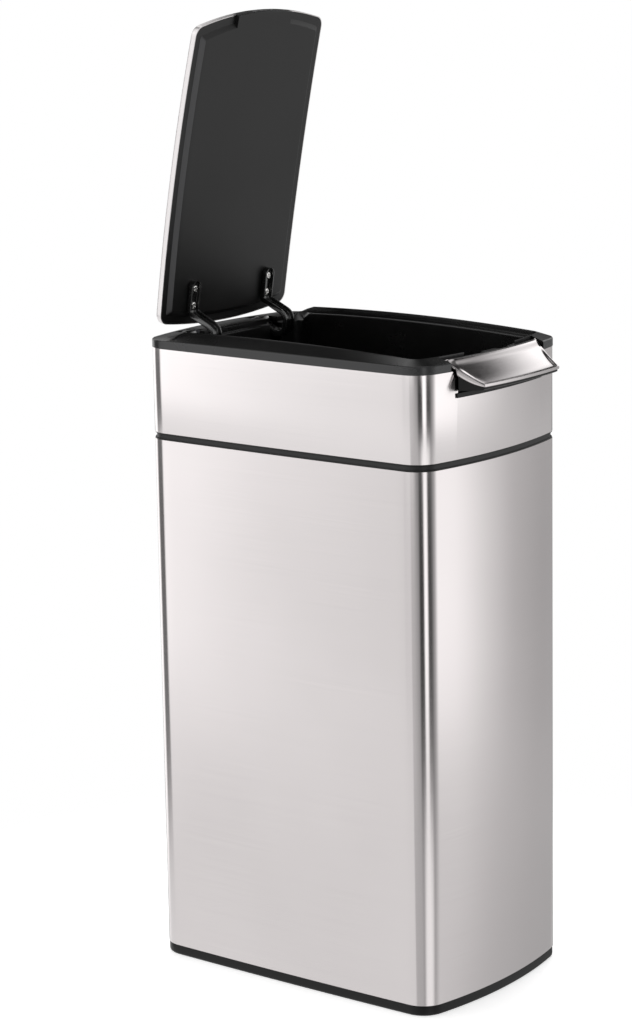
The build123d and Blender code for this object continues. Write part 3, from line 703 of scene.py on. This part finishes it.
# Bar carrier and latch hook
# Black plastic body under the steel cap, which reaches back through the cut-out to the pin.
# A bent strip of spring steel, screwed to its back, hooks over the striker of the shut lid.
hook_tones = (0.020, 0.020, 0.021), (0.035, 0.034, 0.034)
hook_steel = plated_steel("hook_steel", hook_tones, (0.35, 0.5))
dress(bar_plastic, "bar_carrier")
dress(hook_steel, "latch_hook")
dress(zinc_plate, "hook_screws")

# Touch bar cap
# Pressed stainless cap of the bar: a scooped top that falls to the front, a short turned-down
# front lip, and ends drawn up into flanges that bulge a little. It is brushed along its length
# and snapped over the carrier.
bar_rear, bar_front = -0.1775, -0.2124
bar_top, bar_low = 0.6566, 0.634
bar_rear_half = 0.078
bar_slant = 0.0130 / (bar_rear - bar_front)
bar_corner = bar_rear + bar_rear_half**2 / (2 * front_radius)
lip_low = bar_low - 0.0028
lip_crown = 0.0004
cove_start, cove_end = bar_rear - 0.0046, bar_front + 0.003
cove_sag, cove_step, step_share = 0.0022, 0.0022, 0.15
cove_edge, cove_soft = 0.0008, 0.0007
flange_sag = 0.0014
flange_height, flange_foot_sag = 0.005, 0.0041
band_y = -0.1828
back_edge = collar_top + 0.002
end_flat, end_blend, end_run = 0.0007, 0.0065, 0.03
end_bulge = 0.0009
bar_sheet = 0.0009
bar_tones = (0.60, 0.57, 0.57), (0.68, 0.645, 0.645)
long_brush = (6.0, 1800.0, 1800.0)


def sagged(y, start, end, top, low, sag):
    """Height at y of a line from rear to front, hollowed by a parabola."""
    share = np.clip((y - start) / (end - start), 0, 1)
    return top + (low - top) * share - 4 * sag * share * (1 - share)


def scoop(y):
    """Height of the top at y: a flat rear lip, a step into the cove, a crown on the front lip."""
    share = (y - cove_start) / (cove_end - cove_start)
    cove = sagged(y, cove_start, cove_end, bar_top, bar_low, cove_sag)
    cove = cove - cove_step * eased(share / step_share) * (1 - np.clip(share, 0, 1))
    crown = bar_low + lip_crown * (1 - ((y - cove_end) / (bar_front - cove_end) * 2 - 1) ** 2)
    return np.where(y > cove_end, cove, crown)


bar_y = np.concatenate(
    [
        np.linspace(bar_rear, cove_start + cove_edge, 5),
        np.linspace(cove_start, cove_end, 30),
        np.linspace(cove_end - cove_edge, bar_front, 5),
    ]
)
soften = np.linspace(-cove_soft, cove_soft, 9)
scoop_z = scoop(np.clip(bar_y[:, None] + soften, bar_front, bar_rear)).mean(1)
flange_z = sagged(bar_y, bar_rear, bar_front, bar_top, bar_low, flange_sag)
foot_z = sagged(bar_y, bar_rear, bar_front, bar_top - flange_height, lip_low, flange_foot_sag)
bar_half = bar_rear_half + bar_slant * (bar_y - bar_rear)
for settle in range(4):
    bar_half = bar_rear_half + bar_slant * (bowed(bar_half, bar_y) - bar_corner)
over_band = bowed(bar_half, bar_y) > band_y
foot_z = np.where(over_band, np.maximum(foot_z, back_edge), foot_z)
from_end = np.linspace(0, end_blend, 12, endpoint=False)
from_end = np.concatenate([from_end, np.linspace(end_blend, end_run, 6)])
lift = 1 - eased((from_end - end_flat) / (end_blend - end_flat))
side_x = bar_half[:, None] - from_end
side_z = scoop_z[:, None] + lift * (flange_z - scoop_z)[:, None]
drop = np.linspace(1, 0, 6, endpoint=False)
end_z = flange_z[:, None] + drop * (foot_z - flange_z)[:, None]
end_x = bar_half[:, None] + 4 * end_bulge * drop * (1 - drop)
half_x = np.concatenate([end_x, side_x], 1)
half_z = np.concatenate([end_z, side_z], 1)
middle_x = half_x[:, -1:] * np.linspace(1, -1, 26)[1:-1]
middle_z = np.broadcast_to(scoop_z[:, None], middle_x.shape)
cap_x = np.concatenate([half_x, middle_x, -half_x[:, ::-1]], 1)
cap_z = np.concatenate([half_z, middle_z, half_z[:, ::-1]], 1)
cap_top = np.stack([cap_x, bowed(cap_x, bar_y[:, None]), cap_z], -1)
inner = slice(len(drop), cap_top.shape[1] - len(drop))


def turned_down(row, foot):
    """Wall under an edge of the cap: the edge's points lowered step by step to a level."""
    share = np.linspace(0, 1, 7)
    wall = np.repeat(row[None], len(share), 0)
    wall[..., 2] += share[:, None] * (foot - row[:, 2])
    return wall


front_wall = turned_down(cap_top[-1, inner], foot_z[-1])
rear_wall = turned_down(cap_top[0, inner], foot_z[0])
rear_wall = np.concatenate([rear_wall, rear_wall[-1:]])
rear_wall[-1, :, 2] = back_edge
rear_faces = grid_faces(*rear_wall.shape[:2], wrap_columns=False)[:, ::-1]
cap_patches = [patch(cap_top, wrap_columns=False), patch(front_wall, wrap_columns=False)]
cap = make_piece("touch_bar_cap", [*cap_patches, (rear_wall, rear_faces)], closed=False)
edge_turn = cap.modifiers.new("pressed edges", "BEVEL")
edge_turn.width = 0.0006
edge_turn.segments = 3
edge_turn.limit_method = "ANGLE"
edge_turn.angle_limit = np.radians(40)
walls = cap.modifiers.new("sheet", "SOLIDIFY")
walls.thickness = bar_sheet
walls.offset = -1.0
bar_steel = brushed_steel("bar_steel", long_brush, bar_tones, (0.14, 0.19))
finished(cap, "touch_bar", "bar", bar_steel)

# Lid skin
# Arched stainless sheet with a rounded, turned-down edge all round, pressed in one stroke and
# brushed. The edge is left out in the middle of the front, where the pan fills the notch.
lid_half = 0.103
lid_front, lid_rear = -0.1696, 0.1563
lid_side_bow, lid_front_bow, lid_rear_bow = 0.0013, 0.0135, 0.008
lid_middle = (lid_front + lid_rear) / 2
lid_round, least_round = 0.0115, 0.003
lid_peak = ledge_peak + 0.0071
lid_edge = 0.0068
edge_round = 0.002
notch_half, notch_low = 0.043, 0.5
notch_rear = lid_front + lid_front_bow / 2
notch_top = float(arch(lid_front, lid_peak)) - sheet
lid_tones = (0.73, 0.70, 0.70), (0.79, 0.76, 0.76)
lid_joint = next(joint for joint in frame["joints"] if joint["name"] == "lid_swing")
hinge = np.array(lid_joint["pos_m"])


def lid_shell(profile, share):
    """Rows of points: a profile of (inset, drop) pairs carried round the shut lid.

    Each row lies its drop below the arch of the lid's top, and both ends are drawn in to the middle
    by shares, which closes the shell.
    """
    inset = profile[:, 0]
    turn = np.maximum(lid_round - inset, least_round)
    bows = (lid_side_bow, lid_front_bow, lid_rear_bow)
    front = lid_front + lid_front_bow + inset
    back = lid_rear - lid_rear_bow - inset
    loops = plan_loop(lid_half - lid_side_bow - inset, front, back, bows, (turn, turn))
    start = drawn_in(loops[0], share, lid_middle)
    end = drawn_in(loops[-1], share[::-1], lid_middle)
    loops = np.concatenate([start, loops, end])
    drop = np.pad(profile[:, 1], len(share), "edge")
    return raised_to(loops, arch(loops[..., 1], lid_peak) - drop[:, None])


def swung_open(piece):
    """Turns a piece drawn shut about the hinge to where the lid stands open at rest."""
    swing = Matrix.Rotation(-np.radians(lid_joint["range_deg"][1]), 4, "X")
    piece.data.transform(Matrix.Translation(hinge) @ swing @ Matrix.Translation(-hinge))


turn = np.linspace(0, np.pi / 2, 7)
skin_share = np.array([0.0, 0.15, 0.35, 0.55, 0.75, 0.9])
edge_arc = 1 - np.stack([np.sin(turn), np.cos(turn)], -1)
inner_arc = sheet + (edge_round - sheet) * edge_arc[::-1]
edge_foot = [(0.0, lid_edge), (sheet, lid_edge)]
skin_profile = np.concatenate([edge_round * edge_arc, edge_foot, inner_arc])
skin = make_piece("lid_skin_sheet", [patch(lid_shell(skin_profile, skin_share))])
notch = box_plan(-notch_half, notch_half, -far, notch_rear)
cut_away(skin, [(notch, notch_low, notch_top)])
swung_open(skin)
lid_steel = brushed_steel("lid_steel", long_brush, lid_tones, (0.26, 0.32))
finished(skin, "lid_skin", "lid", lid_steel)

# Lid pan
# Black plastic inner pan that fills the skin's edge: a flat border, a bevel, and a proud panel.
# A tongue at the front, level with the panel, fills the notch of the skin. In its middle is a
# pocket for the latch hook. The pan is snapped in behind the skin's edge.
pan_gap = 0.001
pan_lap, pan_back = 0.0100, 0.0016
pan_flat = 0.008
pan_slope = 0.0046
pan_depth = 0.004
panel_inset = pan_flat + pan_slope
panel_drop = lid_edge + pan_depth
panel_border = 0.006
pan_profile = rounded(
    [
        (pan_lap, pan_back),
        (pan_gap, pan_back),
        (pan_gap, lid_edge),
        (pan_flat, lid_edge),
        (panel_inset, panel_drop),
        (panel_inset + panel_border, panel_drop),
    ],
    [0, 0.0015, 0.0006, 0.0012, 0.0016, 0],
    closed=False,
)
pan_rows = lid_shell(pan_profile, np.array([0.0, 0.25, 0.5, 0.75]))
pocket_half = 0.0162
pocket_rear = lid_front + 0.0075
pocket_floor = 0.0064
over_striker = (np.abs(pan_rows[..., 0]) < pocket_half) & (pan_rows[..., 1] < pocket_rear)
over_striker &= pan_rows[..., 2] > arch(pan_rows[..., 1], lid_peak) - pocket_floor
pan_rows[..., 1] = np.where(over_striker, pocket_rear, pan_rows[..., 1])
tongue_fit = 0.0002
tongue_half = notch_half - tongue_fit
tongue_back, tongue_sunk = 0.0010, 0.00002
tongue_end = panel_inset + 0.004
tongue_middle, tongue_core = 0.008, 0.005
tongue_profile = rounded(
    [
        (tongue_fit, tongue_back),
        (tongue_fit, panel_drop),
        (tongue_end, panel_drop - tongue_sunk),
        (tongue_end, tongue_back),
    ],
    [0.0003, 0.0012, 0.0001, 0.0003],
    steps=4,
)
pocket_ends = pocket_half * np.array([-1.0001, -0.9999, 0.9999, 1.0001])
tongue_x = np.sort(np.concatenate([np.linspace(-tongue_half, tongue_half, 21), pocket_ends]))
tongue_x = np.concatenate([[-tongue_half], tongue_x, [tongue_half]])[:, None]
tongue_inset = np.repeat(tongue_profile[None, :, 0], len(tongue_x), 0)
tongue_drop = np.repeat(tongue_profile[None, :, 1], len(tongue_x), 0)
in_pocket = np.abs(tongue_x) < pocket_half
tongue_drop = np.where(in_pocket, np.maximum(tongue_drop, pocket_floor), tongue_drop)
tongue_inset[[0, -1]] = tongue_middle
tongue_drop[[0, -1]] = tongue_core
lid_bow_radius = ((lid_half - lid_side_bow) ** 2 + lid_front_bow**2) / (2 * lid_front_bow)
front_curve = lid_front + lid_bow_radius - np.sqrt(lid_bow_radius**2 - tongue_x**2)
tongue_y = front_curve + tongue_inset
tongue_z = arch(tongue_y, lid_peak) - tongue_drop
tongue_rows = np.stack([np.broadcast_to(tongue_x, tongue_y.shape), tongue_y, tongue_z], -1)
pan = make_piece("lid_pan_moulding", [patch(pan_rows), patch(tongue_rows)])
swung_open(pan)
pan_plastic = moulded_plastic("pan_plastic", greys(0.006, 0.010), (0.38, 0.46), 0.4)
# Painted highlight: faces of the pan that slant sideways, the bevels, get a paler tone that stands
# in for the light they catch.
bevel_highlight_tone = (0.075, 0.075, 0.077)
tree = pan_plastic.node_tree
facing = add_node(tree, "TexCoord", {}).outputs["Normal"]
sideways = add_node(tree, "SeparateXYZ", {"Vector": facing}).outputs["X"]
aside = worked_out(tree, "ABSOLUTE", sideways)
slanting = ramped(tree, aside, 0.2, 0.5)
upright = ramped(tree, aside, 0.75, 0.9)
lay_over(tree, worked_out(tree, "SUBTRACT", slanting, upright), bevel_highlight_tone)
finished(pan, "lid_pan", "lid", pan_plastic)

# Striker
# Small plated steel angle let into the front edge of the pan, behind the tongue.
# The hook of the touch bar snaps over it when the lid is pushed shut.
dress(zinc_plate, "lid_striker")

# Gooseneck arms
# Two channels of black painted steel, bent round the front edge of the deck, from panel to axle.
# Their tabs are rounded and screwed to the pan, and an eye at the other end turns on the axle.
arm_x = 0.060
arm_web = 0.002
arm_fit = 0.0002
tab_width, tab_tip = 0.014, 0.06
tab_y, leave_y = hinge[1] - 0.058, hinge[1] - 0.023
throat = (hinge[1] - 0.0145, hinge[2] - 0.0325)
heel = (hinge[1] + 0.0065, hinge[2] - 0.0345)
eye_foot = (hinge[1] + 0.0008, hinge[2] - 0.004)
channel_out, channel_in, channel_deep = tab_width / 2, 0.0054, 0.0050
eye_radius, eye_bore, eye_steps = 0.0055, 0.00231, 40


def on_panel(y):
    """Height of the middle of an arm's web where it lies on the panel of the shut lid."""
    return float(arch(y, lid_peak)) - lid_edge - pan_depth - arm_fit - arm_web / 2


tab_z, leave_z = on_panel(tab_y), on_panel(leave_y)
arm_path = rounded(
    [(tab_y, tab_z), (leave_y, leave_z), throat, heel, eye_foot],
    [0, 0.006, 0.009, 0.009, 0],
    closed=False,
    steps=14,
)
tab_turn = np.linspace(tab_tip, np.pi / 2, 14)
tab_line = np.array([leave_y - tab_y, leave_z - tab_z])
tab_line /= np.linalg.norm(tab_line)
tab_start = arm_path[0] + tab_line * (tab_width / 2 * (1 - np.cos(tab_turn)))[:, None]
arm_path = np.concatenate([tab_start, arm_path[1:]])
arm_wide = np.concatenate([np.sin(tab_turn), np.ones(len(arm_path) - len(tab_turn))])
heading = np.gradient(arm_path, axis=0)
heading[: len(tab_turn)] = tab_line
heading /= np.linalg.norm(heading, axis=1, keepdims=True)
opening_way = np.stack([heading[:, 1], -heading[:, 0]], -1)
channel = rounded(
    stepped(
        [-channel_out, channel_out, channel_in, -channel_in, -channel_out],
        [-arm_web / 2, channel_deep, arm_web / 2, channel_deep],
    ),
    [0.0016, 0.0016, 0.0005, 0.0005, 0.0006, 0.0006, 0.0005, 0.0005],
    steps=4,
)
arm_yz = arm_path[:, None] + channel[None, :, 1:] * opening_way[:, None]
arm_across = arm_wide[:, None] * channel[:, 0]
arm_rows = np.concatenate([arm_across[..., None], arm_yz], -1)
ends = np.array([arm_rows[0].mean(0), arm_rows[-1].mean(0)])[:, None]
ends = np.broadcast_to(ends, (2, *arm_rows.shape[1:]))
arm_rows = np.concatenate([ends[:1], arm_rows, ends[1:]])
eye_corners = stepped([channel_out, -channel_out], [eye_bore, eye_radius, eye_bore])
eye_profile = rounded(eye_corners, 0.0005, steps=3)
eye_turn = np.linspace(0, 2 * np.pi, eye_steps, endpoint=False)[:, None]
eye_rows = np.stack(
    [
        np.broadcast_to(eye_profile[:, 0], (eye_steps, len(eye_profile))),
        hinge[1] + np.cos(eye_turn) * eye_profile[:, 1],
        hinge[2] + np.sin(eye_turn) * eye_profile[:, 1],
    ],
    -1,
)
enamel_levels = {"Specular IOR Level": 1.0, "Coat Weight": 1.0, "Coat Roughness": 0.1}
arm_enamel, tree = new_finish("arm_enamel", enamel_levels)
drift, orange_peel = noise(tree, 60.0, 3.0), noise(tree, 700.0, 1.0)
surfaced(tree, (drift, drift, orange_peel), greys(0.004, 0.007), (0.22, 0.30), 0.3, 0.00003)
for side, node in ((-1, "hinge_arm_left"), (1, "hinge_arm_right")):
    place = np.array([side * arm_x, 0, 0])
    arm_patches = [patch(arm_rows + place), patch(eye_rows + place, wrap_rows=True)]
    arm = make_piece(node.replace("hinge_arm", "gooseneck_arm"), arm_patches)
    swung_open(arm)
    finished(arm, node, "lid", arm_enamel)

# Arm screws
# Four bright pan-head screws with cross recesses, two in each arm, driven into pillars of the pan.
# The heads lie in the channel and clamp its web to the panel.
head_radius = 0.004
head_rise = 0.0024
shank_radius = 0.0019
screw_length = 0.008
cross_half, cross_reach = 0.00065, 0.0027
side_soft, end_soft = 0.00025, 0.0005
cross_deep, cross_shallow, cross_slope = 0.0011, 0.0004, 0.2
screw_places = (0.0320, 0.4), (0.0495, 1.1)
bright_tones = (0.72, 0.71, 0.69), (0.86, 0.85, 0.83)


def cross_arm(across, along):
    """Soft-edged strip of a cross recess: 1 along its middle, 0 outside it."""
    width = eased((cross_half - abs(across)) / side_soft)
    return width * eased((cross_reach - abs(along)) / end_soft)


def screw_head(radius, rise, shank, length):
    """Round head on a shank along Z, from the tip's pole up over the head to its middle.

    The head is a flattened dome, rise times the fourth root of 1 - (r / radius)^4. The cross is
    pressed into it by the larger of two soft-edged strips, deepest in the middle.
    """
    around = np.linspace(0, 2 * np.pi, 64, endpoint=False)
    share = [1.0, 0.99, 0.95, 0.88, 0.8, 0.7, 0.62, 0.54, 0.46, 0.38, 0.3, 0.22, 0.14, 0.07, 0.0]
    dome_r = radius * np.array(share)
    dome_z = rise * (1 - (dome_r / radius) ** 4) ** 0.25
    r = np.concatenate([[0.0, shank, shank, radius], dome_r])[:, None]
    z = np.concatenate([[-length, -length, 0.0, 0.0], dome_z])[:, None]
    x, y = r * np.cos(around), r * np.sin(around)
    cross = np.maximum(cross_arm(x, y), cross_arm(y, x)) * (z > rise * 0.5)
    depth = np.maximum(cross_deep - cross_slope * r, cross_shallow)
    return np.stack([x, y, z - cross * depth], -1)


screw_rows = screw_head(head_radius, head_rise, shank_radius, screw_length)
screw_x, screw_y = screw_rows[..., 0], screw_rows[..., 1]
seat_way = np.array([tab_line[1], -tab_line[0]])
screw_patches = []
for side in (-arm_x, arm_x):
    for back, twist in screw_places:
        y = hinge[1] - back
        under_head = np.array([y, tab_z + tab_line[1] / tab_line[0] * (y - tab_y)])
        under_head = under_head + seat_way * arm_web / 2
        x = side + screw_x * np.cos(twist) - screw_y * np.sin(twist)
        v = screw_x * np.sin(twist) + screw_y * np.cos(twist)
        yz = under_head + v[..., None] * tab_line + screw_rows[..., 2:] * seat_way
        screw_patches.append(patch(np.concatenate([x[..., None], yz], -1)))
screws = make_piece("arm_screw_heads", screw_patches)
swung_open(screws)
bright_steel = plated_steel("bright_steel", bright_tones, (0.14, 0.24))
finished(screws, "arm_screws", "lid", bright_steel)

# Studio
# White paper under the can, a broad soft box high behind it on the right, and a room of pale and
# dark panels that the steel mirrors; the camera itself sees white around the can.
# It stands to the left of the front, a little above the can, with a long lens.
floor_clear, floor_reach = 0.36, 0.62
floor_rings, floor_steps = 7, 96
floor_turn = np.linspace(0, 2 * np.pi, floor_steps, endpoint=False)
floor_radius = np.linspace(0, floor_reach, floor_rings)[:, None]
floor_x, floor_y = floor_radius * np.cos(floor_turn), floor_radius * np.sin(floor_turn)
floor_points = np.stack([floor_x, floor_y, np.zeros_like(floor_x)], -1)
floor = make_piece("floor", [patch(floor_points)], closed=False)
paper = moulded_plastic("paper", greys(0.88, 0.91), (0.8, 0.9), 0.2, 300.0, 0.0001)
tree = paper.node_tree
place = add_node(tree, "TexCoord", {}).outputs["Object"]
from_can = add_node(tree, "VectorMath", {0: place}, operation="LENGTH").outputs["Value"]
faded = ramped(
    tree, from_can, floor_clear, floor_reach, 1.0, 0.0, interpolation_type="SMOOTHSTEP"
)
paper_shader = tree.nodes["Principled BSDF"].inputs
tree.links.new(faded, paper_shader["Alpha"])
paper_shader["Emission Color"].default_value = (1.0, 1.0, 1.0, 1.0)
paper_shader["Emission Strength"].default_value = 0.62
floor.data.materials.append(paper)
floor.visible_glossy = False

world = bpy.data.worlds.new("studio")
bpy.context.scene.world = world
world.use_nodes = True
tree = world.node_tree
way = add_node(tree, "TexCoord", {}).outputs["Generated"]
part = add_node(tree, "SeparateXYZ", {"Vector": way}).outputs
angle = worked_out(tree, "ARCTAN2", part["Y"], part["X"])
around = worked_out(tree, "MULTIPLY_ADD", angle, 1 / (2 * np.pi), 0.5)


def room_glow(tree, around, stops):
    """Brightness of the room by direction: stops of (degrees anticlockwise from +X, brightness)."""
    ramp = add_node(tree, "ValToRGB", {"Fac": around})
    degrees, glow = np.array(stops, float).T
    place = np.mod(degrees + 180, 360) / 360
    order = np.argsort(place)
    for spot, value in zip(place[order], glow[order]):
        stop = ramp.color_ramp.elements.new(spot)
        stop.color = (value, value, value, 1)
    ramp.color_ramp.elements.remove(ramp.color_ramp.elements[0])
    ramp.color_ramp.elements.remove(ramp.color_ramp.elements[-1])
    return ramp.outputs["Color"]


ground_stops = [
    (0, 0.5), (45, 1.0), (100, 1.0), (150, 0.95), (212, 0.6), (222, 0.5), (234, 1.2), (262, 1.2),
    (274, 0.5), (298, 0.85), (311, 0.85), (326, 0.65), (342, 0.56),
]
floor_stops = [
    (0, 0.55), (14, 0.45), (24, 0.2), (52, 0.2), (62, 1.4), (84, 1.4), (94, 0.25), (122, 0.2),
    (130, 1.02), (150, 1.02), (165, 0.98), (186, 0.75), (212, 0.5), (220, 0.12), (234, 0.12),
    (239, 0.95), (248, 0.95), (255, 0.2), (268, 0.2), (284, 0.5), (298, 0.88), (311, 0.88),
    (326, 0.72), (342, 0.6),
]
low_stops = [
    (0, 0.5), (14, 0.4), (24, 0.12), (52, 0.12), (62, 1.5), (84, 1.5), (94, 0.2), (122, 0.15),
    (129, 1.3), (137, 1.5), (142, 1.08), (150, 0.88), (165, 0.88), (186, 0.66), (200, 0.55),
    (212, 0.4), (218, 0.04), (232, 0.02), (237, 1.6), (247, 1.6), (253, 0.05), (266, 0.08),
    (283, 0.6), (297, 1.45), (306, 1.4), (316, 1.0), (328, 0.65), (342, 0.5),
]
wall_stops = [
    (0, 1.9), (14, 1.8), (24, 0.08), (38, 0.05), (43, 1.0), (58, 1.0), (66, 0.06), (90, 0.15),
    (112, 1.4), (137, 1.5), (150, 1.0), (165, 1.3), (190, 1.3), (205, 0.3), (225, 0.15),
    (234, 1.4), (248, 1.4), (256, 0.2), (290, 0.5), (300, 1.3), (312, 0.9), (326, 0.45),
    (338, 1.1),
]
ceiling_stops = [
    (0, 0.03), (18, 0.03), (36, 0.06), (44, 1.1), (64, 1.1), (74, 0.15), (98, 0.15), (112, 1.2),
    (146, 1.2), (160, 0.15), (200, 0.15), (300, 0.12), (326, 0.03),
]
white = (1.0, 1.0, 1.0, 1.0)
overhead = (0.75, 0.75, 0.75, 1.0)
room = room_glow(tree, around, ground_stops)
for start, end, stops in (
    (-0.42, -0.36, floor_stops),
    (-0.34, -0.18, low_stops),
    (0.15, 0.35, wall_stops),
    (0.47, 0.64, ceiling_stops),
):
    band = room_glow(tree, around, stops)
    room = mixed(tree, ramped(tree, part["Z"], start, end), room, band)
room = mixed(tree, ramped(tree, part["Z"], 0.86, 0.95), room, overhead)
seen = add_node(tree, "LightPath", {}).outputs["Is Camera Ray"]
tree.links.new(mixed(tree, seen, room, white), tree.nodes["Background"].inputs["Color"])


def stood(name, data, place, axes):
    """Stands a lamp or a camera at a place; its axes are the columns of its matrix."""
    thing = add_object(name, data)
    rows = [(*row, spot) for row, spot in zip(np.stack(axes, 1), place)]
    thing.matrix_world = Matrix((*rows, (0, 0, 0, 1)))
    return thing


key_place, key_aim = np.array([1.86, 0.87, 2.85]), np.array([0.0, 0.0, 0.4])
lamp = bpy.data.lights.new("key", "AREA")
lamp.shape = "RECTANGLE"
lamp.size, lamp.size_y = 1.8, 1.8
lamp.energy = 45.0
away = (key_place - key_aim) / np.linalg.norm(key_place - key_aim)
right = np.cross((0.0, 0.0, 1.0), away)
right /= np.linalg.norm(right)
key = stood("key", lamp, key_place, [right, np.cross(away, right), away])
key.visible_glossy = False

eye = np.array([-2.4616, -1.8688, 1.1317])
yaw, pitch, roll = np.radians([52.079, 12.009, -0.988])
ahead = np.array([np.sin(yaw) * np.cos(pitch), np.cos(yaw) * np.cos(pitch), -np.sin(pitch)])
level = np.array([np.cos(yaw), -np.sin(yaw), 0.0])
upward = np.cross(level, ahead)
right = level * np.cos(roll) + upward * np.sin(roll)
upward = upward * np.cos(roll) - level * np.sin(roll)
lens = bpy.data.cameras.new("camera")
lens.lens = 108.6
lens.clip_end = 200.0
bpy.context.scene.camera = stood("camera", lens, eye, [right, upward, -ahead])
bpy.context.scene.view_settings.view_transform = "Standard"
